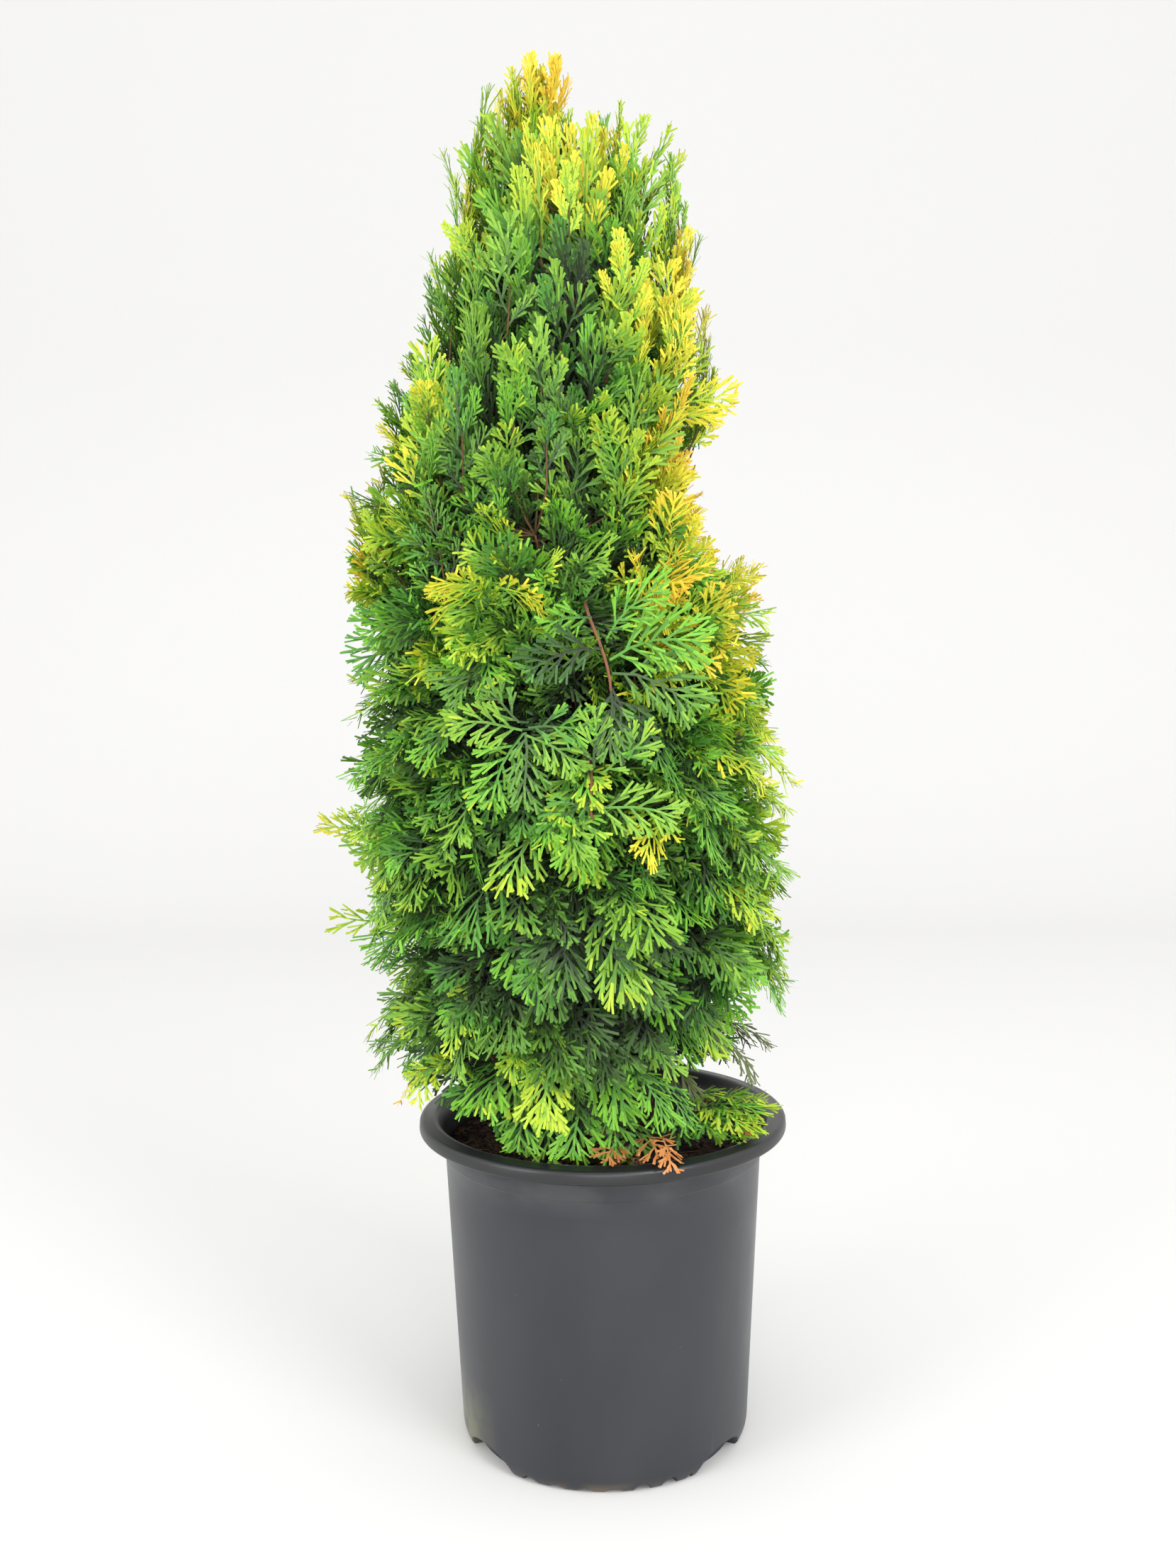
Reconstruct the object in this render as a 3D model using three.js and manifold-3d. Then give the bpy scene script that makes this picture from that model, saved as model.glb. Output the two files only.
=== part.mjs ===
// A young golden-tipped thuja in a black nursery pot.
//
// A blow-moulded pot with a rolled rim stands on its scalloped foot and is filled with growing
// medium. One trunk rises from the medium to the leader, leaning a little to the left. Boughs leave
// it in tiers, each tier turned against the one below. Every bough carries one mass of foliage: a
// stem, a dense core and flat toothed sprays. The sprays hang at the bottom of the crown, stand out
// in the middle and point up at the top.
//
// Millimetres, +Z up, the origin at the middle of the pot's flat underside. -Y is the front.

import * as THREE from "three";
import { mergeVertices } from "three/addons/utils/BufferGeometryUtils.js";
import Module from "manifold-3d";

const wasm = await Module();
wasm.setup();

// ---------------------------------------------------------------- driving dimensions

const clearance = 0.3; // air between any two pieces that meet

const pot = {
  height: 248,
  rimRadius: 140, // outside of the rolled rim
  mouthRadius: 126.5, // inner edge of the rim
  bodyTopRadius: 120.4,
  bodyBottomRadius: 110.5,
  footRadius: 105,
  wall: 2.2,
  floor: 3,
  rimDepth: 11.5, // height of the rolled rim
  bandDepth: 30, // top of the rim to the step under the stacking band
  bandRelief: 1.5, // how far the band stands proud of the body
  cornerHeight: 13, // where the rounded bottom corner meets the body
  segments: 40,
};
const drains = { turns: [-144, -38, 36, 142], width: 54, height: 15 };
const scallops = { count: 32, width: 11.5, height: 6 };

const soil = { level: 226, crown: 4, collarRadius: 24 }; // level at the wall, rise to the middle

const trunk = {
  baseRadius: 8.5,
  tipRadius: 1.9,
  flareRadius: 14.5, // at the cut, where the roots begin
  flareHeight: 26,
  top: 955, // height of the leader's end
  sides: 10,
  rings: 15,
};
const trunkLine = [
  // sideways drift of the trunk with height
  [229, 0],
  [400, -9],
  [600, -12],
  [780, -19],
  [960, -36],
];

// The crown's outline: height, sideways shift of its axis, radius.
const outline = [
  [230, -8, 116],
  [270, -12, 143],
  [300, -34, 155],
  [335, -16, 156],
  [365, -10, 168],
  [400, -25, 179],
  [475, -28, 184],
  [515, -22, 169],
  [545, -22, 166],
  [590, -30, 155],
  [650, -34, 156],
  [690, -44, 141],
  [745, -45, 133],
  [778, -30, 139],
  [815, -29, 116],
  [870, -22, 100],
  [955, -21, 80],
  [986, -24, 61],
  [997, -53, 34],
  [1034, -39, 20],
];
// The foliage hangs lowest in front and ends higher to either side of that.
const hem = { lowest: -103, lift: 44, from: 28, over: 30 };

// Tiers of masses: how many stand round, height of their middles, distance out from the crown's
// axis, direction of the first one, and how far below its middle each one's bough leaves the trunk.
const tiers = [
  { name: "skirt", count: 5, height: 316, out: 88, turn: -128, drop: 48 },
  { name: "lower", count: 5, height: 425, out: 96, turn: -92, drop: 84 },
  { name: "middle", count: 5, height: 540, out: 90, turn: -58, drop: 92 },
  { name: "upper", count: 4, height: 656, out: 84, turn: -95, drop: 95 },
  { name: "shoulder", count: 4, height: 768, out: 72, turn: -60, drop: 92 },
  { name: "neck", count: 3, height: 880, out: 50, turn: -90, drop: 88 },
];
const secondTop = { name: "second_top", at: [28, -6, 925], leaves: 800, size: 0.85, rise: 26 };
const rimSprig = { name: "rim_sprig", at: [86, -36, 264], leaves: 243, size: 0.28, rise: 5 };
const leader = { name: "leader", at: [-47, 0, 982], size: 0.66, rise: 26 };

const bough = { rootRadius: 4.4, tipRadius: 2.2, sides: 4, rings: 3, ofTrunk: 0.7, stagger: 34 };
// A mass's stem runs from below and inside of its middle to above and outside of it.
const stem = { tipRadius: 1.5, sides: 3, rings: 3, outward: 26, rise: 38 };
const core = { radius: 42, height: 64, fullness: 0.62, roughness: 0.14, inset: 3 };

// Twigs leave the stem for points spread over a shell round the mass's middle.
const twig = {
  perMass: 7,
  sprays: 2,
  shell: [30, 46], // reach of the twigs, level and upright
  spread: 88, // to either side of straight out
  lowest: -0.65, // sine of the lowest direction
  rootRadius: 1.6,
  tipRadius: 1.1,
  tries: 160,
};

const spray = {
  longest: 112,
  shortest: 50,
  fork: 50, // turn of a spray away from its twig, to either side
  halfWidth: 0.38, // of its length
  thickness: 0.03, // of its length, at the midrib
  stalk: 0.17, // share of the length that is bare stalk
  stalkWidth: 0.022,
  lobePairs: 2,
  shrink: 0.95, // step by which a spray that doesn't fit is made smaller
  apart: 9, // least distance between the blades of a mass
};

// Pitch of a spray at its root and at its tip, in degrees above level, by height in the crown.
const pitch = [
  [0, 5, -72],
  [0.3, 18, -60],
  [0.45, 36, -20],
  [0.6, 55, 50],
  [1, 74, 86],
];
const pitchSpread = 28;
const rollSpread = 52; // turn of the blade about its own midrib

// ---------------------------------------------------------------- small tools

const toRad = THREE.MathUtils.degToRad;
const up = new THREE.Vector3(0, 0, 1);

// Value at x of a table of rows [x, a, b ...], straight between the rows.
function lookUp(table, x, column = 1) {
  const last = table.length - 1;
  if (x <= table[0][0]) return table[0][column];
  if (x >= table[last][0]) return table[last][column];
  const i = table.findIndex((row) => row[0] > x);
  const share = (x - table[i - 1][0]) / (table[i][0] - table[i - 1][0]);
  return THREE.MathUtils.lerp(table[i - 1][column], table[i][column], share);
}

// The same seed always gives the same run of numbers from 0 to 1.
function seeded(seed) {
  let state = seed >>> 0;
  return () => {
    state = (Math.imul(state, 1664525) + 1013904223) >>> 0;
    return state / 4294967296;
  };
}

function solidFrom(geometry) {
  const bare = new THREE.BufferGeometry();
  bare.setAttribute("position", geometry.getAttribute("position"));
  bare.setIndex(geometry.index);
  const merged = mergeVertices(bare, 1e-4);
  const corners = merged.index.array;
  const triVerts = [];
  for (let i = 0; i < corners.length; i += 3) {
    const [a, b, c] = corners.slice(i, i + 3);
    if (a !== b && b !== c && c !== a) triVerts.push(a, b, c);
  }
  return new wasm.Manifold(
    new wasm.Mesh({
      numProp: 3,
      vertProperties: new Float32Array(merged.getAttribute("position").array),
      triVerts: new Uint32Array(triVerts),
    }),
  );
}

function geometryFrom(solid) {
  const mesh = solid.getMesh();
  const geometry = new THREE.BufferGeometry();
  geometry.setAttribute(
    "position",
    new THREE.BufferAttribute(new Float32Array(mesh.vertProperties), 3),
  );
  geometry.setIndex(new THREE.BufferAttribute(new Uint32Array(mesh.triVerts), 1));
  geometry.computeVertexNormals();
  return geometry;
}

// A closed profile of [radius, height] turned about +Z.
function turned(profile, segments) {
  const points = profile.map(([radius, height]) => new THREE.Vector2(radius, height));
  return solidFrom(new THREE.LatheGeometry(points, segments).rotateX(Math.PI / 2));
}

// A round limb along a curve. radiusAt gives its radius from 0 at the root to 1 at the tip.
function limb(curve, radiusAt, sides, rings) {
  const frames = curve.computeFrenetFrames(rings, false);
  const geometry = new THREE.CylinderGeometry(1, 1, 1, sides, rings);
  const place = geometry.getAttribute("position");
  for (let i = 0; i < place.count; i++) {
    const share = place.getY(i) + 0.5;
    const ring = Math.round(share * rings);
    const radius = radiusAt(share);
    const point = curve.getPointAt(ring / rings);
    point.addScaledVector(frames.normals[ring], place.getX(i) * radius);
    point.addScaledVector(frames.binormals[ring], -place.getZ(i) * radius);
    place.setXYZ(i, point.x, point.y, point.z);
  }
  const made = solidFrom(geometry);
  if (made.volume() > 0) return made;
  geometry.index.array.reverse();
  return solidFrom(geometry);
}

// ---------------------------------------------------------------- pot and growing medium

function bodyRadius(height) {
  const share = (height - pot.cornerHeight) / (pot.height - pot.bandDepth - pot.cornerHeight);
  return THREE.MathUtils.lerp(pot.bodyBottomRadius, pot.bodyTopRadius, share);
}

// Points of the rounded bottom corner, from the foot up to the body, inset by the wall inside.
function cornerArc(inset, bottom) {
  const points = [];
  const steps = 3;
  for (let i = 0; i <= steps; i++) {
    const angle = (i / steps) * (Math.PI / 2);
    points.push([
      pot.footRadius + (pot.bodyBottomRadius - pot.footRadius) * Math.sin(angle) - inset,
      bottom + (pot.cornerHeight - bottom) * (1 - Math.cos(angle)),
    ]);
  }
  return points;
}

function potSolid() {
  const top = pot.height;
  const step = top - pot.bandDepth;
  const bandRadius = pot.bodyTopRadius + pot.bandRelief;
  const rimBottom = top - pot.rimDepth;
  const inner = pot.bodyTopRadius - pot.wall;
  const outside = [
    [0, 0],
    ...cornerArc(0, 0),
    [pot.bodyTopRadius, step],
    [bandRadius, step + 1.5],
    [bandRadius + 0.4, rimBottom],
    [pot.rimRadius - 3, rimBottom],
    [pot.rimRadius - 0.4, rimBottom + 1.6],
    [pot.rimRadius, rimBottom + 5],
    [pot.rimRadius - 1.8, top - 4],
    [pot.rimRadius - 3.8, top - 2.8],
    [pot.rimRadius - 8, top - 0.4],
    [pot.rimRadius - 11, top],
    [pot.mouthRadius, top - 1],
  ];
  const inside = [
    [pot.mouthRadius - 4, top - 6],
    [inner + 2, rimBottom - 1],
    [inner, step - 2],
    ...cornerArc(pot.wall, pot.floor).reverse(),
    [0, pot.floor],
  ];
  let made = turned([...outside, ...inside], pot.segments);
  for (const cutter of footCutters()) made = made.subtract(cutter);
  return made;
}

// Arched drain openings, and the small channels between them that scallop the foot.
function footCutters() {
  const cutters = [];
  for (const turn of drains.turns)
    cutters.push(channel(turn, drains.width, drains.height, 6, pot.footRadius - 9));
  const keepOff = THREE.MathUtils.radToDeg(
    (drains.width + scallops.width + 3) / 2 / pot.footRadius,
  );
  for (let i = 0; i < scallops.count; i++) {
    const turn = ((i + 0.5) * 360) / scallops.count;
    const fromDrains = drains.turns.map((drain) =>
      Math.abs(THREE.MathUtils.euclideanModulo(turn - drain + 180, 360) - 180),
    );
    if (Math.min(...fromDrains) > keepOff)
      cutters.push(channel(turn, scallops.width, scallops.height, 2, pot.footRadius - 1.8));
  }
  return cutters;
}

// A radial channel with an arched top, open below, from the given radius outwards.
function channel(turn, width, height, steps, from) {
  const shape = new THREE.Shape();
  shape.moveTo(-width / 2, -2);
  shape.lineTo(width / 2, -2);
  for (let i = 0; i <= steps; i++) {
    const angle = (i / steps) * Math.PI;
    shape.lineTo((Math.cos(angle) * width) / 2, Math.sin(angle) * height);
  }
  const length = pot.bodyBottomRadius + 6 - from;
  const block = new THREE.ExtrudeGeometry(shape, { depth: length, bevelEnabled: false });
  const basis = new THREE.Matrix4().makeBasis(
    new THREE.Vector3(0, 1, 0),
    up,
    new THREE.Vector3(1, 0, 0),
  );
  block.applyMatrix4(basis);
  block.translate(from, 0, 0);
  block.rotateZ(toRad(turn));
  return solidFrom(block);
}

function soilSolid() {
  const bottom = cornerArc(pot.wall + clearance, pot.floor + clearance);
  return turned(
    [
      [0, pot.floor + clearance],
      ...bottom,
      [bodyRadius(soil.level) - pot.wall - 2 * clearance, soil.level],
      [soil.collarRadius, soil.level + soil.crown],
      [0, soil.level + soil.crown],
    ],
    pot.segments,
  );
}

// ---------------------------------------------------------------- trunk and boughs

const ground = soil.level + soil.crown + clearance;

function trunkPoint(height) {
  return new THREE.Vector3(
    lookUp(trunkLine, height),
    4 * Math.sin((height - ground) / 110),
    height,
  );
}

const trunkCurve = new THREE.CatmullRomCurve3(
  [ground, 300, 400, 500, 600, 700, 780, 870, trunk.top].map(trunkPoint),
);

function trunkRadius(share) {
  const height = share * (trunk.top - ground);
  const taper = THREE.MathUtils.lerp(trunk.baseRadius, trunk.tipRadius, share ** 0.9);
  const flare = Math.max(0, 1 - height / trunk.flareHeight) ** 2;
  return taper + (trunk.flareRadius - trunk.baseRadius) * flare;
}

function trunkSolid(extra = 0) {
  const made = limb(trunkCurve, (share) => trunkRadius(share) + extra, trunk.sides, trunk.rings);
  return extra ? made : made.trimByPlane([0, 0, 1], ground);
}

// The masses, each with its middle, its direction out, its stem and its bough.
function layOut() {
  const masses = [];
  for (const tier of tiers) {
    for (let i = 0; i < tier.count; i++) {
      const turn = toRad(tier.turn + (i * 360) / tier.count);
      const height = tier.height + 9 * Math.sin(2.4 * i + tier.height);
      const axis = lookUp(outline, height);
      masses.push({
        name: `${tier.name}_${i + 1}`,
        middle: new THREE.Vector3(
          axis + tier.out * Math.cos(turn),
          tier.out * Math.sin(turn),
          height,
        ),
        leaves: height - tier.drop + (bough.stagger * ((2 * i) % tier.count)) / tier.count,
      });
    }
  }
  for (const one of [secondTop, rimSprig, leader])
    masses.push({
      ...one,
      middle: new THREE.Vector3(...one.at),
    });
  masses.forEach(addStem);
  return masses;
}

function addStem(mass, index) {
  mass.seed = 7919 * (index + 1);
  mass.size ??= 1;
  const rise = new THREE.Vector3(0, 0, mass.rise ?? stem.rise);
  if (mass.leaves === undefined) {
    // the leader's own foliage grows on from the trunk's tip
    mass.foot = trunkCurve.getPoint(1);
    mass.out = new THREE.Vector3(-1, 0, 0);
    mass.start = trunkCurve.getTangent(1);
    mass.stemRadius = trunk.tipRadius;
    mass.end = mass.middle.clone().add(rise);
  } else {
    const root = trunkPoint(mass.leaves);
    mass.out = mass.middle.clone().sub(root).setZ(0);
    const outward = Math.min(stem.outward, mass.out.length() * 0.4);
    mass.out.normalize();
    mass.foot = mass.middle.clone().addScaledVector(mass.out, -outward).sub(rise);
    const elbow = root.clone().lerp(mass.foot, 0.5).addScaledVector(mass.out, 8);
    mass.boughCurve = new THREE.QuadraticBezierCurve3(root, elbow, mass.foot);
    mass.start = mass.boughCurve.getTangent(1);
    mass.stemRadius = boughRadius(mass, 1);
    mass.end = mass.middle.clone().addScaledVector(mass.out, outward).add(rise);
  }
  mass.stemRoot = mass.foot.clone().addScaledVector(mass.start, clearance);
  mass.stemCurve = new THREE.CubicBezierCurve3(
    mass.stemRoot,
    mass.stemRoot.clone().addScaledVector(mass.start, 22),
    mass.middle,
    mass.end,
  );
}

// A bough is never thicker at its root than a share of the trunk it leaves.
function boughRadius(mass, share) {
  const there = trunkRadius((mass.leaves - ground) / (trunk.top - ground));
  const root = Math.min(bough.rootRadius, bough.ofTrunk * there);
  return THREE.MathUtils.lerp(root, Math.min(bough.tipRadius, 0.8 * root), share);
}

function boughSolid(mass, extra = 0) {
  const radiusAt = (share) => boughRadius(mass, share) + extra;
  return limb(mass.boughCurve, radiusAt, bough.sides, bough.rings);
}

// ---------------------------------------------------------------- the space of each mass

const masses = layOut();

// Limbs as balls strung close together, for a quick test of what comes near them.
const limbBalls = [];
function stringBalls(curve, radiusAt, count) {
  for (let i = 0; i <= count; i++)
    limbBalls.push({ at: curve.getPointAt(i / count), radius: radiusAt(i / count) });
}
stringBalls(trunkCurve, trunkRadius, 120);
for (const mass of masses)
  if (mass.boughCurve) stringBalls(mass.boughCurve, (share) => boughRadius(mass, share), 12);

// Each mass owns the points that are nearer to its middle than to any other, less a thin wall.
function inOwnSpace(point, mass, wall) {
  const own = point.distanceToSquared(mass.middle);
  return masses.every((other) => {
    if (other === mass) return true;
    const apart = other.middle.distanceTo(mass.middle);
    return (point.distanceToSquared(other.middle) - own) / (2 * apart) > wall;
  });
}

function inCrown(point) {
  const fromAxis = Math.hypot(point.x - lookUp(outline, point.z, 1), point.y);
  return point.z < outline.at(-1)[0] && fromAxis < lookUp(outline, point.z, 2);
}

// How much higher than its lowest line the foliage ends in the direction of a point.
function hemLift(point) {
  const turn = THREE.MathUtils.radToDeg(Math.atan2(point.y, point.x));
  const away = Math.abs(THREE.MathUtils.euclideanModulo(turn - hem.lowest + 180, 360) - 180);
  return hem.lift * THREE.MathUtils.clamp((away - hem.from) / hem.over, 0, 1);
}

function abovePot(point, mass) {
  const fromPot = Math.hypot(point.x, point.y);
  const overSoil = fromPot < pot.bodyTopRadius - 6;
  const floor = overSoil ? soil.level + soil.crown + 4 : pot.height + 3;
  return point.z > floor + (mass.name === rimSprig.name ? 0 : hemLift(point));
}

function clearOfLimbs(point, air) {
  return limbBalls.every((ball) => point.distanceTo(ball.at) > ball.radius + air);
}

function fits(points, mass) {
  return points.every(
    (point, i) =>
      inOwnSpace(point, mass, clearance) &&
      inCrown(point) &&
      abovePot(point, mass) &&
      (i < 2 || clearOfLimbs(point, 6)),
  );
}

// ---------------------------------------------------------------- sprays

// The blade's outline, from the stalk's root to the tip: shares of its length along and across.
// Lobes stand on both sides of the midrib in turn, and the middle pair is the widest.
function bladeSides() {
  const sides = [[], []];
  const { lobePairs, stalk } = spray;
  const pace = (0.9 - stalk) / lobePairs;
  for (let j = 0; j < lobePairs; j++) {
    for (const side of [0, 1]) {
      const from = stalk + pace * (j + 0.42 * side);
      const width = spray.halfWidth * Math.sin((Math.PI * (j + 0.95)) / (lobePairs + 0.75));
      sides[side].push({
        notch: [from, 0.028],
        tip: [from + 0.26 - 0.04 * j, width],
      });
    }
  }
  return sides;
}
const blade = bladeSides();

// A spray in space: its midrib leaves the root at one pitch and ends at another, and its blade is
// turned about that midrib. Returns a function from (along, across, thick) to a point.
function sprayFrame({ root, turn, rootPitch, tipPitch, roll, length }) {
  const towards = (p) =>
    new THREE.Vector3(Math.cos(p) * Math.cos(turn), Math.cos(p) * Math.sin(turn), Math.sin(p));
  const first = towards(rootPitch);
  const change = towards(tipPitch).sub(first);
  const level = new THREE.Vector3(-Math.sin(turn), Math.cos(turn), 0);
  return (along, across, thick) => {
    const tangent = first.clone().addScaledVector(change, along).normalize();
    const flat = new THREE.Vector3().crossVectors(tangent, level);
    const side = level.clone().multiplyScalar(Math.cos(roll)).addScaledVector(flat, Math.sin(roll));
    const face = new THREE.Vector3().crossVectors(tangent, side);
    return root
      .clone()
      .addScaledVector(first, along * length)
      .addScaledVector(change, (along * along * length) / 2)
      .addScaledVector(side, across * length)
      .addScaledVector(face, thick * length);
  };
}

// Points of a spray that have to stay inside the mass's space and off the other sprays.
function sprayPoints(place) {
  const points = [place(0, 0, 0), place(spray.stalk, 0, 0), place(0.5, 0, 0), place(1, 0, 0)];
  blade.forEach((lobes, side) => {
    for (const { tip } of lobes) {
      const across = side ? -tip[1] : tip[1];
      points.push(place(tip[0], across, 0), place(tip[0] - 0.06, across / 2, 0));
    }
  });
  return points;
}

function keepsApart(points, taken) {
  const near = (point) => taken.some((other) => point.distanceTo(other) < spray.apart);
  return !points.slice(2).some(near);
}

// Share of the way up through the crown, for the table of pitches.
function shareUp(height) {
  return (height - outline[0][0]) / (outline.at(-1)[0] - outline[0][0]);
}

// One spray in a direction near the given turn, made smaller until it fits, or nothing.
function trySpray(mass, root, turn, random, taken) {
  const swing = toRad(pitchSpread) * (2 * random() - 1);
  const one = {
    root,
    turn: turn + toRad(spray.fork) * (2 * random() - 1),
    rootPitch: toRad(lookUp(pitch, shareUp(root.z), 1)) + swing,
    tipPitch: toRad(lookUp(pitch, shareUp(root.z), 2)) + swing,
    roll: toRad(rollSpread) * (2 * random() - 1),
    length: spray.longest * (0.8 + 0.2 * random()),
  };
  for (; one.length > spray.shortest; one.length *= spray.shrink) {
    const points = sprayPoints(sprayFrame(one));
    if (!fits(points, mass) || !keepsApart(points, taken)) continue;
    taken.push(...points.slice(2));
    return one;
  }
  return undefined;
}

// Grows a mass from its stem: twigs leave the stem in turn and sprays stand on every twig. The
// first twig and its sprays go straight out, so that each mass reaches the crown's edge. A twig
// that would leave the mass's space or touch a limb is skipped, and so is a spray.
function grow(mass) {
  const random = seeded(mass.seed);
  const straightOut = 0.5; // the middle of every spread
  const grown = { twigs: [], sprays: [] };
  const taken = [];
  for (let i = 0; i < twig.tries && grown.twigs.length < twig.perMass; i++) {
    const chance = i === 0 ? () => straightOut : random;
    const sine = THREE.MathUtils.lerp(twig.lowest, 1, chance());
    const spread = mass.boughCurve ? toRad(twig.spread) : Math.PI;
    const turn = Math.atan2(mass.out.y, mass.out.x) + spread * (2 * chance() - 1);
    const level = Math.sqrt(1 - sine * sine) * twig.shell[0] * mass.size;
    const from = mass.stemCurve.getPoint(0.5 + 0.35 * sine);
    const to = new THREE.Vector3(
      mass.middle.x + level * Math.cos(turn),
      mass.middle.y + level * Math.sin(turn),
      mass.middle.z + sine * twig.shell[1] * mass.size,
    );
    const sprays = [];
    for (let j = 0; j < twig.sprays; j++) {
      const root = from.clone().lerp(to, 0.97 - 0.4 * (j / twig.sprays));
      const made = trySpray(mass, root, turn, chance, taken);
      if (made) sprays.push(made);
    }
    const clear = fits([from, from, to.clone().lerp(from, 0.4), to], mass);
    if (!clear || !sprays.length) continue;
    grown.twigs.push({ from, to });
    grown.sprays.push(...sprays);
  }
  return grown;
}

// One toothed blade, closed: its upper face rises to a ridge along the midrib, its back is plain.
function spraySolid(one) {
  const place = sprayFrame(one);
  const corners = [];
  const faces = [];
  const add = (along, across, thick = 0) => {
    corners.push(...place(along, across, thick).toArray());
    return corners.length / 3 - 1;
  };
  const face = (mirrored, a, b, c) => faces.push(...(mirrored ? [a, c, b] : [a, b, c]));
  const tip = add(1, 0);
  const rootTop = add(0, 0, spray.stalkWidth);
  const ridge = blade[0].map((lobe, j) =>
    add((lobe.notch[0] + blade[1][j].notch[0]) / 2 + 0.03, 0, spray.thickness * (1 - 0.25 * j)),
  );
  const sides = blade.map((lobes, side) => {
    const sign = side ? -1 : 1;
    const mirrored = side === 1;
    const inner = [add(0, sign * spray.stalkWidth)];
    for (const { notch } of lobes) inner.push(add(notch[0], sign * notch[1]));
    inner.push(tip);
    face(mirrored, rootTop, ridge[0], inner[0]);
    face(mirrored, inner[0], ridge[0], inner[1]);
    lobes.forEach((lobe, j) => {
      const [notch, next] = inner.slice(j + 1);
      const point = add(lobe.tip[0], sign * lobe.tip[1]);
      face(mirrored, notch, ridge[j], point);
      face(mirrored, point, ridge[j], next);
      face(mirrored, notch, point, next);
      if (j + 1 < ridge.length) face(mirrored, next, ridge[j], ridge[j + 1]);
    });
    return inner;
  });
  const [left, right] = sides;
  face(false, rootTop, left[0], right[0]);
  for (let j = 0; j + 1 < left.length; j++) {
    face(false, left[j], left[j + 1], right[j + 1]);
    face(false, left[j], right[j + 1], right[j]);
  }
  const geometry = new THREE.BufferGeometry();
  geometry.setAttribute("position", new THREE.Float32BufferAttribute(corners, 3));
  geometry.setIndex(faces);
  const made = solidFrom(geometry);
  if (made.volume() > 0) return made;
  geometry.index.array.reverse();
  return solidFrom(geometry);
}

// ---------------------------------------------------------------- masses

const limbSpace = wasm.Manifold.union([
  trunkSolid(2),
  ...masses.filter((mass) => mass.boughCurve).map((mass) => boughSolid(mass, 1.5)),
]);

// The dense heart of a mass: a rough ball round the stem, inside the mass's own space.
function coreSolid(mass) {
  const random = seeded(mass.seed + 1);
  const geometry = new THREE.OctahedronGeometry(1, 1);
  const merged = mergeVertices(geometry.deleteAttribute("normal").deleteAttribute("uv"), 1e-4);
  const place = merged.getAttribute("position");
  const scale = new THREE.Vector3(core.radius, core.radius, core.height);
  scale.multiplyScalar(mass.size);
  for (let i = 0; i < place.count; i++) {
    const point = new THREE.Vector3().fromBufferAttribute(place, i);
    point.z = Math.sign(point.z) * Math.abs(point.z) ** core.fullness;
    point.multiply(scale);
    point.multiplyScalar(1 + core.roughness * (2 * random() - 1)).add(mass.middle);
    place.setXYZ(i, point.x, point.y, point.z);
  }
  let made = solidFrom(merged);
  for (const other of masses) {
    if (other === mass) continue;
    const normal = mass.middle.clone().sub(other.middle);
    const half = normal.length() / 2;
    normal.normalize();
    made = made.trimByPlane(normal.toArray(), normal.dot(other.middle) + half + core.inset);
  }
  return made.trimByPlane([0, 0, 1], pot.height + 4).subtract(limbSpace);
}

function twigSolid(from, to) {
  const radiusAt = (share) => THREE.MathUtils.lerp(twig.rootRadius, twig.tipRadius, share);
  return limb(new THREE.LineCurve3(from, to), radiusAt, 3, 1);
}

function massSolid(mass) {
  const stemAt = (share) => THREE.MathUtils.lerp(mass.stemRadius, stem.tipRadius, share);
  const { twigs, sprays } = grow(mass);
  const grown = [...twigs.map(({ from, to }) => twigSolid(from, to)), ...sprays.map(spraySolid)];
  return outerBody(
    wasm.Manifold.union([
      limb(mass.stemCurve, stemAt, stem.sides, stem.rings),
      coreSolid(mass),
      ...grown.filter((part) => part.intersect(limbSpace).isEmpty()),
    ]),
  );
}

// The largest body alone: sealed hollows between crossing blades are filled, loose scraps dropped.
function outerBody(solid) {
  return solid.decompose().reduce((best, one) => (one.volume() > best.volume() ? one : best));
}

// ---------------------------------------------------------------- the whole plant

function finish(color, roughness) {
  return new THREE.MeshStandardMaterial({ color, roughness, metalness: 0 });
}
const plastic = finish("#2b2d33", 0.38);
const medium = finish("#2a1d16", 0.95);
const bark = finish("#6b4632", 0.85);
const leaf = finish("#4f9a22", 0.6);

const plant = new THREE.Group();
function addNode(name, solid, material) {
  const mesh = new THREE.Mesh(geometryFrom(solid), material);
  mesh.name = name;
  plant.add(mesh);
}

addNode("pot", potSolid(), plastic);
addNode("soil", soilSolid(), medium);
addNode("trunk", trunkSolid(), bark);
const trunkSpace = trunkSolid(clearance);
for (const mass of masses) {
  if (mass.boughCurve) {
    const cut = outerBody(boughSolid(mass).subtract(trunkSpace));
    addNode(`bough_${mass.name}`, cut, bark);
  }
  addNode(`foliage_${mass.name}`, massSolid(mass), leaf);
}

export default plant;
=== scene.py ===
"""A young golden-tipped thuja in a black nursery pot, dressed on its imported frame.

Metres, +Z up, the origin at the middle of the pot's flat underside, -Y is the front.
"""

from math import atan2, cos, pi, radians, sin, sqrt

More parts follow.
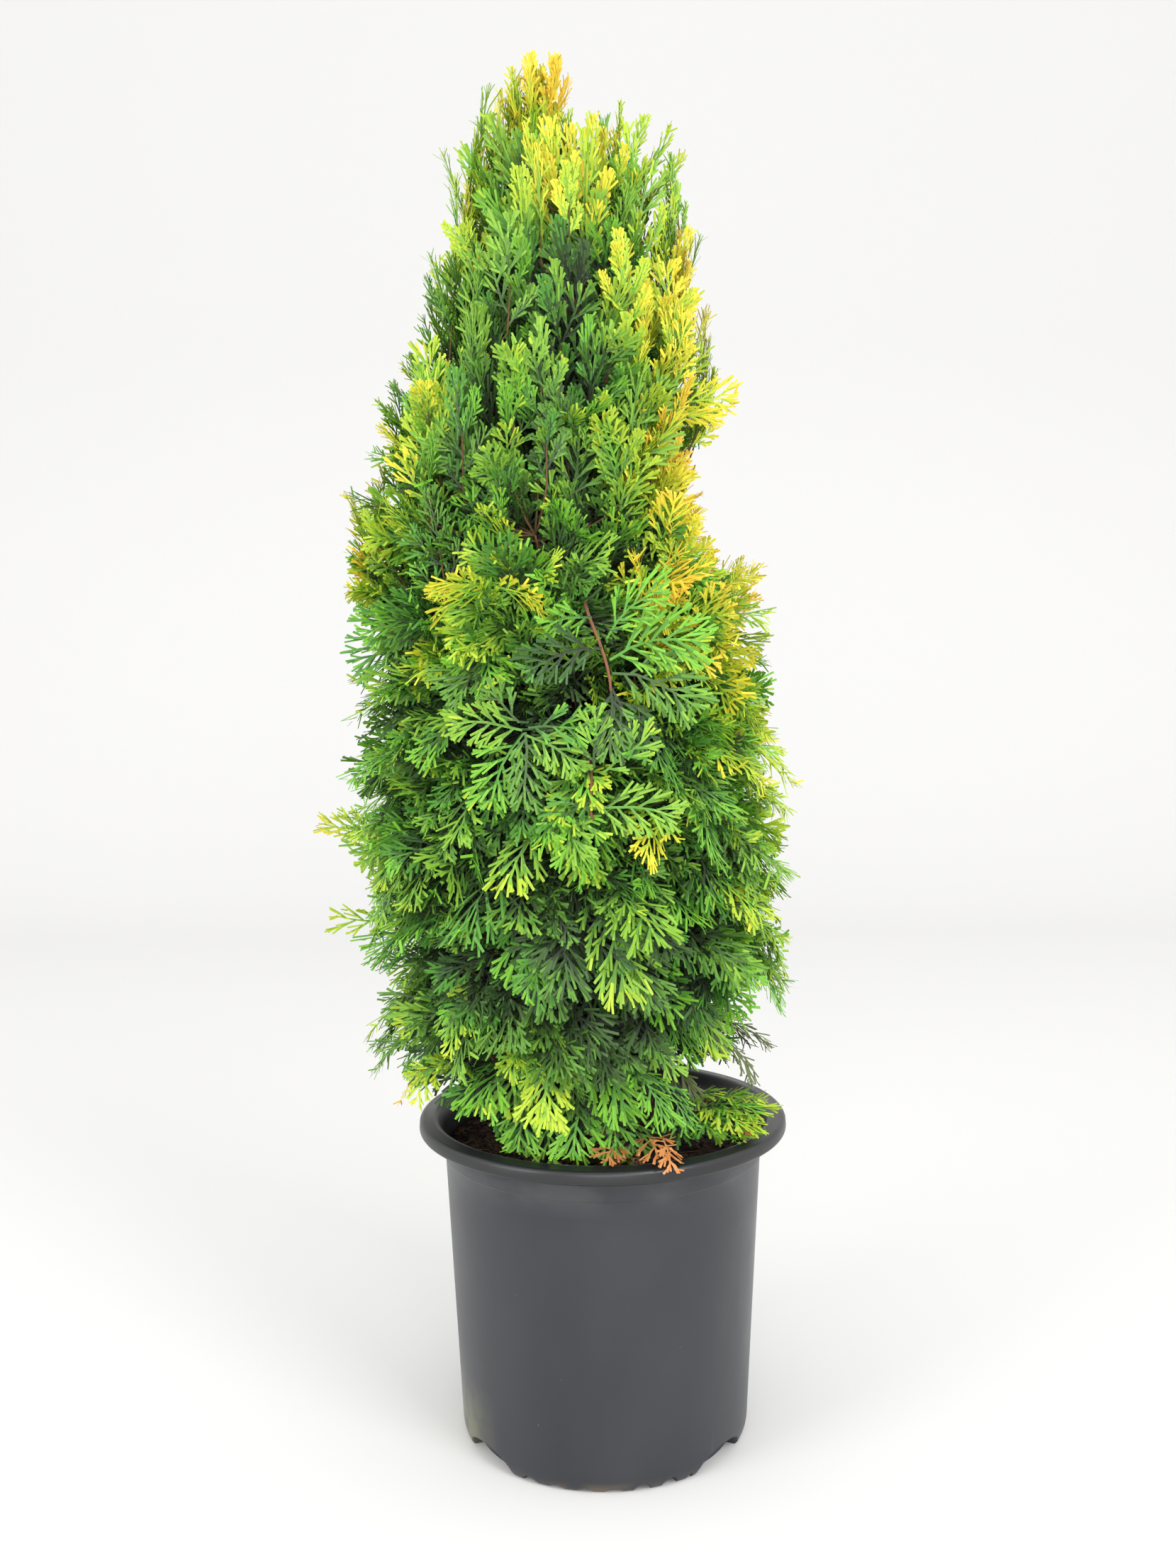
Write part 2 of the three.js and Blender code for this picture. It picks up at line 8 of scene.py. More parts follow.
import bmesh
import bpy
import numpy as np
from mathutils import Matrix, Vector


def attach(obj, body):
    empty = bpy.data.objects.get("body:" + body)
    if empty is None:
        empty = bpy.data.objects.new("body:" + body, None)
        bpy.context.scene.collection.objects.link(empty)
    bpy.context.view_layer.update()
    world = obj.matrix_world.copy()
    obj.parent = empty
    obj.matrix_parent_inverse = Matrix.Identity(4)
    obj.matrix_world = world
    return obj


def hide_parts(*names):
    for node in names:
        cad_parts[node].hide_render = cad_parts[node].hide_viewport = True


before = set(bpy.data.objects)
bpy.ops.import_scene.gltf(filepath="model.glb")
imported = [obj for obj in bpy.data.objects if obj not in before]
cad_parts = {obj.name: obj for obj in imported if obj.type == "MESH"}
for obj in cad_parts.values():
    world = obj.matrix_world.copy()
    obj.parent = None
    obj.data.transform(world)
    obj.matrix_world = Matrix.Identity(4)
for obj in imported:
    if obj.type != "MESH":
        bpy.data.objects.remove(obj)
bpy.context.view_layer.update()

# ---------------------------------------------------------------- camera
# A 35 mm lens held 0.6 m above the floor and 1.14 m in front of the trunk. It is tipped slightly
# down and half a degree off level.
SENSOR, LENS = 36, 34.99  # mm
CAMERA_PLACE = (-0.0087, -1.1441, 0.605)
TIPPED_DOWN, TILTED = 5.31, -0.55  # degrees
camera_data = bpy.data.cameras.new("camera")
camera_data.sensor_width = SENSOR
camera_data.lens = LENS
camera = bpy.data.objects.new("camera", camera_data)
camera.location = CAMERA_PLACE
camera.rotation_mode = "YXZ"
camera.rotation_euler = (radians(90 - TIPPED_DOWN), 0, 0)
camera.rotation_euler.rotate_axis("Z", radians(TILTED))
bpy.context.scene.collection.objects.link(camera)
bpy.context.scene.camera = camera

# ---------------------------------------------------------------- pot
# Blow-moulded black polyethylene, slightly blue, satin where it hasn't been handled. The rolled
# rim overhangs a stacking band, and the foot is scalloped between four arched drain openings.
POT_HEIGHT = 0.248
RIM_RADIUS = 0.140
MOUTH_RADIUS = 0.1265
BODY_TOP_RADIUS = 0.1204
BODY_BOTTOM_RADIUS = 0.1105
FOOT_RADIUS = 0.105
WALL = 0.0022
FLOOR_TOP = 0.003
RIM_DEPTH = 0.0115
BAND_DEPTH = 0.030
CORNER_HEIGHT = 0.013
DRAIN_TURNS, DRAIN_WIDTH, DRAIN_HEIGHT = (-144, -38, 36, 142), 0.054, 0.015
SCALLOP_COUNT, SCALLOP_WIDTH, SCALLOP_HEIGHT = 32, 0.0115, 0.0060
SPIN_STEPS = 480


def new_object(name, mesh, material):
    made = bpy.data.objects.new(name, mesh)
    made.data.materials.append(material)
    bpy.context.scene.collection.objects.link(made)
    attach(made, "root")
    return made


def shade_smooth(made, sharp_over):
    made.data.set_sharp_from_angle(angle=radians(sharp_over))
    for polygon in made.data.polygons:
        polygon.use_smooth = True


def plain_material(name, color, roughness, specular=0.5):
    made = bpy.data.materials.new(name)
    made.use_nodes = True
    shader = made.node_tree.nodes["Principled BSDF"]
    shader.inputs["Base Color"].default_value = (*color, 1)
    shader.inputs["Roughness"].default_value = roughness
    shader.inputs["Specular IOR Level"].default_value = specular
    return made


def noise(tree, scale, detail=4, stretch=(1, 1, 1)):
    place = tree.nodes.new("ShaderNodeTexCoord")
    turn = tree.nodes.new("ShaderNodeMapping")
    turn.inputs["Scale"].default_value = stretch
    made = tree.nodes.new("ShaderNodeTexNoise")
    made.inputs["Scale"].default_value = scale
    made.inputs["Detail"].default_value = detail
    tree.links.new(place.outputs["Object"], turn.inputs["Vector"])
    tree.links.new(turn.outputs["Vector"], made.inputs["Vector"])
    return made.outputs["Fac"]


def ramp(tree, value, stops):
    """A colour ramp with stops of (position, colour)."""
    made = tree.nodes.new("ShaderNodeValToRGB")
    elements = made.color_ramp.elements
    while len(elements) < len(stops):
        elements.new(0.5)
    for element, (position, color) in zip(elements, stops):
        element.position = position
        element.color = (*color, 1)
    tree.links.new(value, made.inputs["Fac"])
    return made.outputs["Color"]


def patches(tree, value, low, high, strength=1):
    """A share that is 0 where the value is under low and strength where it is over high."""
    return ramp(tree, value, [(low, (0, 0, 0)), (high, (strength,) * 3)])


def mix(tree, share, under, color):
    """A colour laid over what lies under it, by a share."""
    made = tree.nodes.new("ShaderNodeMix")
    made.data_type = "RGBA"
    tree.links.new(share, made.inputs["Factor"])
    tree.links.new(under, made.inputs["A"])
    made.inputs["B"].default_value = (*color, 1)
    return made.outputs["Result"]


def fade(tree, value, start, end):
    """A share that grows from 0 at start to 1 at end."""
    made = tree.nodes.new("ShaderNodeMapRange")
    made.inputs["From Min"].default_value = start
    made.inputs["From Max"].default_value = end
    tree.links.new(value, made.inputs["Value"])
    return made.outputs["Result"]


def product(tree, first, *others):
    for other in others:
        made = tree.nodes.new("ShaderNodeMath")
        made.operation = "MULTIPLY"
        tree.links.new(first, made.inputs[0])
        tree.links.new(other, made.inputs[1])
        first = made.outputs["Value"]
    return first


def feed(tree, value, socket):
    tree.links.new(value, tree.nodes["Principled BSDF"].inputs[socket])


def bump(tree, height, strength, distance):
    made = tree.nodes.new("ShaderNodeBump")
    made.inputs["Strength"].default_value = strength
    made.inputs["Distance"].default_value = distance
    tree.links.new(height, made.inputs["Height"])
    feed(tree, made.outputs["Normal"], "Normal")


def arc(centre, radius, start, end, steps):
    """Points of an arc in the profile's plane, with angles in degrees."""
    angles = [radians(start + (end - start) * i / steps) for i in range(steps + 1)]
    return [(centre[0] + radius * cos(a), centre[1] + radius * sin(a)) for a in angles]


def body_radius(height):
    share = (height - CORNER_HEIGHT) / (POT_HEIGHT - BAND_DEPTH - CORNER_HEIGHT)
    return BODY_BOTTOM_RADIUS + (BODY_TOP_RADIUS - BODY_BOTTOM_RADIUS) * share


def corner(inset, bottom, steps):
    """The rounded bottom corner, from the foot up to the body."""
    points = []
    for i in range(steps + 1):
        angle = i / steps * pi / 2
        radius = FOOT_RADIUS + (BODY_BOTTOM_RADIUS - FOOT_RADIUS) * sin(angle) - inset
        points.append((radius, bottom + (CORNER_HEIGHT - bottom) * (1 - cos(angle))))
    return points


step = POT_HEIGHT - BAND_DEPTH
rim_bottom = POT_HEIGHT - RIM_DEPTH
band_radius = BODY_TOP_RADIUS + 0.0015
foot_edge = [(FOOT_RADIUS - 0.006, 0), (FOOT_RADIUS - 0.0058, 0), (FOOT_RADIUS - 0.003, 0)]
body_heights = [CORNER_HEIGHT + (step - CORNER_HEIGHT) * i / 8 for i in range(1, 9)]
body_line = [(body_radius(height), height) for height in body_heights]
outside = [
    (0.00001, 0),
    (0.06, 0),
    *foot_edge,
    *corner(0, 0, 10),
    *body_line,
    (BODY_TOP_RADIUS + 0.0002, step + 0.0004),
    (band_radius - 0.0002, step + 0.0014),
    (band_radius, step + 0.0020),
    (band_radius + 0.0003, rim_bottom - 0.0012),
    (band_radius + 0.0012, rim_bottom - 0.0002),
    (band_radius + 0.0030, rim_bottom),
    *arc((RIM_RADIUS - 0.0030, rim_bottom + 0.0030), 0.0030, -90, 0, 6),
    *arc((RIM_RADIUS - 0.0042, POT_HEIGHT - 0.0050), 0.0040, 15, 80, 5),
    (RIM_RADIUS - 0.0062, POT_HEIGHT - 0.0014),
    (RIM_RADIUS - 0.0095, POT_HEIGHT - 0.0003),
    (RIM_RADIUS - 0.0120, POT_HEIGHT - 0.0004),
    (MOUTH_RADIUS + 0.0003, POT_HEIGHT - 0.0012),
]
inner = BODY_TOP_RADIUS - WALL
inside = [
    (MOUTH_RADIUS - 0.0010, POT_HEIGHT - 0.0026),
    (MOUTH_RADIUS - 0.0040, POT_HEIGHT - 0.0070),
    (inner + 0.0020, rim_bottom - 0.0020),
    (inner + 0.0004, step - 0.0010),
    (inner, step - 0.0040),
    (body_radius(0.12) - WALL, 0.12),
    *reversed(corner(WALL, FLOOR_TOP, 4)),
    (0.06, FLOOR_TOP),
    (0.00001, FLOOR_TOP),
]


def foot_lift(angle):
    """Height of the opening in the foot at that angle round the pot."""
    def arch(gap, width, height):
        across = np.radians(gap) * FOOT_RADIUS / (width / 2)
        return height * max(0.0, 1 - across * across) ** 0.5

    turn = np.degrees(angle)
    gap = min(abs((turn - at + 180) % 360 - 180) for at in DRAIN_TURNS)
    if gap < np.degrees((DRAIN_WIDTH / 2 + 0.004) / FOOT_RADIUS):
        return arch(gap, DRAIN_WIDTH, DRAIN_HEIGHT)
    spacing = 360 / SCALLOP_COUNT
    uneven = 0.8 + 0.3 * sin(5 * angle + 1)
    return arch((turn + 3) % spacing - spacing / 2, SCALLOP_WIDTH, SCALLOP_HEIGHT * uneven)


def spun(name, profile, steps):
    """A closed body turned about Z from a profile of (radius, height)."""
    made = bmesh.new()
    ring = [made.verts.new((radius, 0, height)) for radius, height in profile]
    edges = [made.edges.new(pair) for pair in zip(ring, ring[1:])]
    bmesh.ops.spin(
        made, geom=ring + edges, cent=(0, 0, 0), axis=(0, 0, 1), angle=2 * pi, steps=steps,
        use_merge=True, use_duplicate=False,
    )
    bmesh.ops.remove_doubles(made, verts=made.verts, dist=0.00002)
    bmesh.ops.recalc_face_normals(made, faces=made.faces)
    # the merge leaves the faces in any order: each is put in order by its first three corners
    made.verts.index_update()
    more = len(made.verts)
    made.faces.sort(key=lambda face: sum(v.index * more ** k for k, v in enumerate(face.verts[:3])))
    mesh = bpy.data.meshes.new(name)
    made.to_mesh(mesh)
    made.free()
    return mesh


pot_mesh = spun("pot_body", outside + inside, SPIN_STEPS)
for vertex in pot_mesh.vertices:
    x, y, z = vertex.co
    from_axis = sqrt(x * x + y * y)
    if z > DRAIN_HEIGHT + WALL or from_axis < FOOT_RADIUS - 0.0059:
        continue
    share = 1 - z / CORNER_HEIGHT
    outer = FOOT_RADIUS + (BODY_BOTTOM_RADIUS - FOOT_RADIUS) * sqrt(1 - share * share)
    lift = foot_lift(atan2(y, x))
    if z > 0.002 and from_axis < outer - WALL / 2:
        vertex.co.z = max(z, lift + WALL)
    else:
        vertex.co.z = max(z, lift)

plastic = plain_material("pot_plastic", (0.03, 0.032, 0.041), 0.36)
tree = plastic.node_tree
place = tree.nodes.new("ShaderNodeTexCoord")
split = tree.nodes.new("ShaderNodeSeparateXYZ")
tree.links.new(place.outputs["Object"], split.inputs["Vector"])
across, back, up = split.outputs["X"], split.outputs["Y"], split.outputs["Z"]
# worn polyethylene with specks of dust, and wiped smears under the rim
WORN = [(0.35, (0.019, 0.0205, 0.026)), (0.7, (0.030, 0.032, 0.038))]
worn = ramp(tree, noise(tree, 9, 5, (1, 1, 0.5)), WORN)
specks = patches(tree, noise(tree, 260, 2), 0.77, 0.81)
dusty = mix(tree, specks, worn, (0.085, 0.085, 0.085))
smears = patches(tree, noise(tree, 17, 6, (1, 1, 1.6)), 0.44, 0.60, 0.75)
under_rim = product(tree, fade(tree, up, 0.205, 0.220), smears)
dusty = mix(tree, under_rim, dusty, (0.052, 0.054, 0.058))
# soil caked low on the foot, in the middle of its front and back, and algae on its left corner
caked = patches(tree, noise(tree, 30, 5), 0.42, 0.56, 0.85)
middle_only = product(tree, fade(tree, across, -0.050, -0.020), fade(tree, across, 0.045, 0.010))
caked_foot = product(tree, fade(tree, up, 0.009, 0.002), middle_only, caked)
soiled = mix(tree, caked_foot, dusty, (0.115, 0.085, 0.050))
algae = patches(tree, noise(tree, 70, 5), 0.30, 0.52, 0.95)
left_edge = product(tree, fade(tree, across, -0.080, -0.102), fade(tree, back, 0.030, -0.010))
left_corner = product(tree, fade(tree, up, 0.060, 0.012), left_edge, algae)
soiled = mix(tree, left_corner, soiled, (0.130, 0.134, 0.072))
# painted shade on the rim: the rolled rim is painted darker than the body
rim_only = fade(tree, up, rim_bottom - 0.002, rim_bottom)
feed(tree, mix(tree, rim_only, soiled, (0.012, 0.0125, 0.014)), "Base Color")
HANDLED = [(0.3, (0.28, 0.28, 0.28)), (0.75, (0.42, 0.42, 0.42))]
feed(tree, ramp(tree, noise(tree, 14, 6, (1, 1, 0.6)), HANDLED), "Roughness")
bump(tree, noise(tree, 35, 3), 0.12, 0.002)
pot = new_object("pot_body", pot_mesh, plastic)
shade_smooth(pot, 40)
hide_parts("pot")

# ---------------------------------------------------------------- growing medium
# Dark, moist, fibrous medium, heaped a little towards the stem, with crumbs of bark on top, pale
# fibres and a few grains of white perlite.
SOIL_LEVEL = 0.226
SOIL_HEAP = 0.004
SOIL_RADIUS = body_radius(SOIL_LEVEL) - WALL - 0.0006
WAVE_COUNT = 18


def mesh_from(name, points, faces):
    """A mesh from an array of points and an array of faces with the same number of corners."""
    mesh = bpy.data.meshes.new(name)
    count, sides = faces.shape
    mesh.vertices.add(len(points))
    mesh.vertices.foreach_set("co", np.asarray(points, np.float32).ravel())
    mesh.loops.add(count * sides)
    mesh.loops.foreach_set("vertex_index", faces.astype(np.int32).ravel())
    mesh.polygons.add(count)
    mesh.polygons.foreach_set("loop_start", np.arange(0, count * sides, sides, dtype=np.int32))
    mesh.update(calc_edges=True)
    return mesh


def waves(x, y, seed, scale):
    """Smooth random heights between about -1 and 1, as a sum of sine waves."""
    rng = np.random.default_rng(seed)
    total = np.zeros_like(x)
    for _ in range(WAVE_COUNT):
        turn, phase = rng.uniform(0, 2 * pi, 2)
        pace = scale * rng.uniform(0.6, 2.4)
        total += np.sin((x * cos(turn) + y * sin(turn)) * pace + phase) / sqrt(WAVE_COUNT / 2)
    return total


def round_z(radius, turn, height):
    """Points at a radius, a direction in radians and a height."""
    x, y = radius * np.cos(turn), radius * np.sin(turn)
    return np.stack([x, y, height + 0 * x], -1)


rings, spokes = 46, 120
share = np.linspace(0, 1, rings)[:, None]
angles = np.linspace(0, 2 * pi, spokes, endpoint=False)[None, :]
x = SOIL_RADIUS * share * np.cos(angles)
y = SOIL_RADIUS * share * np.sin(angles)
z = SOIL_LEVEL - 0.002 + (SOIL_HEAP + 0.001) * (1 - share) + 0 * angles
z = z + (0.0014 * waves(x, y, 3, 130) + 0.0009 * waves(x, y, 4, 480)) * (1 - share ** 8)
z = np.minimum(z, SOIL_LEVEL + SOIL_HEAP * np.clip(1.25 * (1 - share), 0, 1))
under = [(0.1120, 0.12), (0.1075, 0.024), (0.0960, 0.0180), (0.00001, 0.0180)]
points = [np.stack([x, y, z], -1).reshape(-1, 3)]
for radius, height in under:
    points.append(round_z(radius, angles[0], height))
index = np.arange((rings + len(under)) * spokes).reshape(-1, spokes)
low, high = index[:-1], index[1:]
quads = np.stack([low, high, np.roll(high, -1, 1), np.roll(low, -1, 1)], -1).reshape(-1, 4)
medium = plain_material("growing_medium", (0.03, 0.018, 0.012), 0.95, 0.2)
tree = medium.node_tree
MOIST = [(0.3, (0.012, 0.007, 0.005)), (0.55, (0.035, 0.021, 0.014)), (0.8, (0.09, 0.055, 0.035))]
feed(tree, ramp(tree, noise(tree, 190, 6), MOIST), "Base Color")
bump(tree, noise(tree, 420, 5), 0.7, 0.0015)
soil = new_object("soil_surface", mesh_from("soil_surface", np.concatenate(points), quads), medium)
shade_smooth(soil, 60)
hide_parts("soil")

CUBE = np.array([(x, y, z) for x in (-1, 1) for y in (-1, 1) for z in (-1, 1)], float) / 2
CUBE_FACES = np.array([(0, 1, 3, 2), (4, 6, 7, 5), (0, 4, 5, 1), (2, 3, 7, 6), (0, 2, 6, 4), (1, 5, 7, 3)])


def turned(a, b, angle):
    """Coordinates a and b turned by an angle in their plane."""
    return a * np.cos(angle) - b * np.sin(angle), a * np.sin(angle) + b * np.cos(angle)


def scattered(name, count, smallest, largest, seed, lift, color):
    """Small uneven blocks strewn over the medium."""
    rng = np.random.default_rng(seed)
    radius = (SOIL_RADIUS - 0.005) * np.sqrt(rng.uniform(0.02, 1, count))
    turn = rng.uniform(0, 2 * pi, count)
    height = SOIL_LEVEL - 0.0015 + SOIL_HEAP * (1 - radius / SOIL_RADIUS) + rng.uniform(0, lift, count)
    sizes = rng.uniform(smallest, largest, (count, 3))
    blocks = CUBE[None] * sizes[:, None] * rng.uniform(0.65, 1, (count, 8, 3))
    heading, tilt = rng.uniform(0, 2 * pi, count), rng.normal(0, 0.3, count)
    x, z = turned(blocks[..., 0], blocks[..., 2], tilt[:, None])
    x, y = turned(x, blocks[..., 1], heading[:, None])
    points = np.stack([x, y, z], -1) + round_z(radius, turn, height)[:, None]
    faces = (CUBE_FACES[None] + 8 * np.arange(count)[:, None, None]).reshape(-1, 4)
    mesh = mesh_from(name, points.reshape(-1, 3), faces)
    made = new_object(name, mesh, plain_material(name, color, 0.9, 0.25))


for row in (
    # name, how many, smallest and largest block, seed, how high they lie, colour
    ("bark_crumbs", 420, (0.002, 0.0015, 0.001), (0.009, 0.005, 0.003), 11, 0.0022, (0.055, 0.03, 0.018)),
    ("dark_crumbs", 700, (0.001, 0.001, 0.001), (0.005, 0.004, 0.0025), 12, 0.002, (0.018, 0.011, 0.008)),
    ("fibres", 260, (0.006, 0.0004, 0.0004), (0.022, 0.0008, 0.0007), 13, 0.003, (0.11, 0.07, 0.04)),
    ("perlite", 34, (0.0012, 0.0012, 0.001), (0.0028, 0.0026, 0.002), 14, 0.0022, (0.62, 0.61, 0.58)),
):
    scattered(*row)

# ---------------------------------------------------------------- how the plant is laid out
# The source's own rule: a crown outline, tiers of masses turned against each other, a bough from
# the trunk to each mass and a stem that carries on through it.
GROUND = SOIL_LEVEL + SOIL_HEAP + 0.0003
TRUNK_TOP = 0.955
TRUNK_ROOT, TRUNK_TIP, TRUNK_FLARE = 0.0085, 0.0019, 0.006  # radii
TRUNK_LINE = np.array([(0.229, 0), (0.4, -0.009), (0.6, -0.012), (0.78, -0.019), (0.96, -0.036)])
OUTLINE = np.array([
    # height, sideways shift of the axis, radius, in mm
    (230, -8, 116),
    (270, -22, 133),
    (300, -45, 146),
    (335, -21, 152),
    (365, -8, 170),
    (400, -21, 172),
    (475, -27, 180),
    (515, -22, 169),
    (545, -22, 166),
    (590, -26, 160),
    (650, -29, 162),
    (690, -40, 143),
    (720, -50, 131),
    (745, -49, 128),
    (778, -30, 139),
    (815, -29, 116),
    (870, -22, 100),
    (945, -21, 82),
    (976, -24, 66),
    (985, -53, 35),
    (1000, -49, 30),
    (1024, -36, 20),
]) / 1000
TIERS = [
    # name, count, height, distance out, direction of the first, drop to its bough's root
    ("skirt", 5, 0.316, 0.088, -128, 0.048),
    ("lower", 5, 0.425, 0.096, -92, 0.084),
    ("middle", 5, 0.540, 0.090, -58, 0.092),
    ("upper", 4, 0.656, 0.084, -95, 0.095),
    ("shoulder", 4, 0.768, 0.072, -60, 0.092),
    ("neck", 3, 0.880, 0.050, -90, 0.088),
]
STAGGER = 0.034
STEM_OUTWARD, STEM_RISE = 0.026, 0.038


def read(table, at, column=1):
    """A column of a table, at values of its first column."""
    return np.interp(at, table[:, 0], table[:, column])


def crown_axis(height):
    return read(OUTLINE, height, 1)


def crown_radius(height):
    return read(OUTLINE, height, 2)


def trunk_point(height):
    return np.array([read(TRUNK_LINE, height), 0.004 * sin((height - GROUND) / 0.110), height])


def trunk_radius(height):
    up = max(0.0, height - GROUND)
    share = min(1.0, up / (TRUNK_TOP - GROUND))
    flare = TRUNK_FLARE * max(0.0, 1 - up / 0.026) ** 2
    return TRUNK_ROOT + (TRUNK_TIP - TRUNK_ROOT) * share ** 0.9 + flare


def bezier(points, share):
    """Points of a Bezier curve at an array of shares."""
    points = np.asarray(points, float)
    share = np.asarray(share, float)[..., None]
    if len(points) == 1:
        return points[0] + 0 * share
    return (1 - share) * bezier(points[:-1], share[..., 0]) + share * bezier(points[1:], share[..., 0])


def unit(vector):
    return vector / np.maximum(np.linalg.norm(vector, axis=-1, keepdims=True), 1e-9)


masses = []
for _, count, height, out, turn, drop in TIERS:
    for i in range(count):
        angle = radians(turn + i * 360 / count)
        at = height + 0.009 * sin(2.4 * i + 1000 * height)
        middle = np.array([crown_axis(at) + out * cos(angle), out * sin(angle), at])
        leaves = at - drop + STAGGER * ((2 * i) % count) / count
        masses.append({"middle": middle, "leaves": leaves, "rise": STEM_RISE})
for middle, leaves, rise in (
    # middle of the mass, height at which its bough leaves the trunk, rise of its stem
    ((0.028, -0.006, 0.925), 0.8, 0.026),  # second top
    ((0.086, -0.036, 0.264), 0.243, 0.005),  # sprig over the rim
    ((-0.047, 0, 0.982), None, 0.026),  # leader, on the trunk's own tip
):
    masses.append({"middle": np.array(middle), "leaves": leaves, "rise": rise})

for mass in masses:
    rise = np.array([0, 0, mass["rise"]])
    middle = mass["middle"]
    if mass["leaves"] is None:
        foot = trunk_point(TRUNK_TOP)
        start = unit(foot - trunk_point(TRUNK_TOP - 0.02))
        end = middle + rise
    else:
        root = trunk_point(mass["leaves"])
        level = (middle - root) * (1, 1, 0)
        outward = min(STEM_OUTWARD, np.linalg.norm(level) * 0.4)
        mass["out"] = unit(level)
        foot = middle - mass["out"] * outward - rise
        elbow = (root + foot) / 2 + mass["out"] * 0.008
        mass["bough"] = [root, elbow, foot]
        start = unit(foot - elbow)
        end = middle + mass["out"] * outward + rise
    mass["stem"] = [foot, foot + start * 0.022, middle, end]

# ---------------------------------------------------------------- trunk, boughs and stems
# Thin, reddish-brown bark in long fibrous strips. The trunk flares into its roots at the medium and leans
# to the left.
BARK_SIDES = 28
RELIEF = 0.07  # of the bark, of a limb's radius
THICKEST_BOUGH, STEM_TIP = 0.0044, 0.0006  # radii


def tube(path, radii, sides, relief=0.0, seed=0):
    """Points and quads of a closed tube with fibrous ridges along it."""
    path = np.asarray(path)
    along = unit(np.gradient(path, axis=0))
    first = unit(np.cross(along, (0.31, 0.95, 0.05)))
    second = np.cross(along, first)
    angle = np.linspace(0, 2 * pi, sides, endpoint=False)
    rng = np.random.default_rng(seed)
    fibre = np.zeros((len(path), sides))
    for _ in range(9):
        wave, twist, phase = rng.integers(3, 12), rng.uniform(-3, 3), rng.uniform(0, 2 * pi)
        wander = 0.7 * np.sin(rng.uniform(20, 90) * path[:, 2:3])
        fibre += np.sin(wave * angle + twist * path[:, 2:3] * 8 + phase + wander) / 4
    radius = np.asarray(radii)[:, None] * (1 + relief * fibre)
    points = (
        path[:, None]
        + (radius * np.cos(angle))[..., None] * first[:, None]
        + (radius * np.sin(angle))[..., None] * second[:, None]
    ).reshape(-1, 3)
    index = np.arange(len(path) * sides).reshape(-1, sides)
    low, high = index[:-1], index[1:]
    quads = np.stack([low, np.roll(low, -1, 1), np.roll(high, -1, 1), high], -1).reshape(-1, 4)
    caps = [(len(points), path[0] - 0.0002 * along[0], index[0][::-1]),
            (len(points) + 1, path[-1] + radii[-1] * 0.8 * along[-1], index[-1])]
    extra = [np.stack([ring, np.roll(ring, -1), np.full(sides, tip), np.full(sides, tip)], -1)
             for tip, _, ring in caps]
    return np.concatenate([points, [caps[0][1], caps[1][1]]]), np.concatenate([quads, *extra])


def triangles(quads):
    """Splits quads into triangles and drops the empty ones."""
    both = np.concatenate([quads[:, [0, 1, 2]], quads[:, [0, 2, 3]]])
    a, b, c = both.T
    return both[(a != b) & (b != c) & (c != a)]


def joined(pieces):
    """Joins several (points, faces) into one."""
    shift, points, faces = 0, [], []
    for p, f in pieces:
        points.append(p)
        faces.append(f + shift)
        shift += len(p)
    return np.concatenate(points), np.concatenate(faces)


def piece_of_tubes(name, tubes, material, smooth=True):
    points, quads = joined(tubes)
    made = new_object(name, mesh_from(name, points, triangles(quads)), material)
    if smooth:
        shade_smooth(made, 50)
    return made


heights = np.linspace(GROUND, TRUNK_TOP, 190)
trunk_radii = [trunk_radius(h) for h in heights]
trunk_tube = tube([trunk_point(h) for h in heights], trunk_radii, BARK_SIDES, RELIEF, 5)
boughs, stems = [], []
for number, mass in enumerate(masses):
    thick = TRUNK_TIP
    if "bough" in mass:
        share = np.linspace(0, 1, 22)
        root = min(THICKEST_BOUGH, 0.7 * trunk_radius(mass["leaves"]))
        thick = min(THICKEST_BOUGH / 2, 0.8 * root)
        boughs.append(tube(bezier(mass["bough"], share), root + (thick - root) * share, 12, RELIEF, number))
    share = np.linspace(0, 0.8, 14)
    stems.append(tube(bezier(mass["stem"], share), thick + (STEM_TIP - thick) * share, 7, 0.05, number))

bark = plain_material("bark", (0.17, 0.075, 0.04), 0.85, 0.25)
tree = bark.node_tree
STRIPS = [(0.3, (0.07, 0.032, 0.02)), (0.55, (0.19, 0.085, 0.047)), (0.8, (0.33, 0.19, 0.12))]
feed(tree, ramp(tree, noise(tree, 260, 5, (1, 1, 0.12)), STRIPS), "Base Color")
bump(tree, noise(tree, 500, 4, (1, 1, 0.1)), 0.6, 0.0008)
for name, parts, nodes in (
    ("trunk_bark", [trunk_tube], ["trunk"]),
    ("bough_bark", boughs, [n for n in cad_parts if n.startswith("bough_")]),
):
    made = piece_of_tubes(name, parts, bark)
    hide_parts(*nodes)

# ---------------------------------------------------------------- one fan of foliage
# The smallest unit is a flat fan of scaly branchlets. They leave the midrib in turn on both
# sides like fingers, fork once or twice on the way out, and each ends bluntly.
FORK_PACE = 0.0058  # a branchlet forks about this often
FORK_TURN = (0.5, 0.68)  # in radians
FORK_LONGEST, FORK_SHORTEST = 0.0115, 0.0050
EDGES, RIDGED = ((-1, 0.2), (1, 0.2)), ((-1, 0), (0, 1), (1, 0))


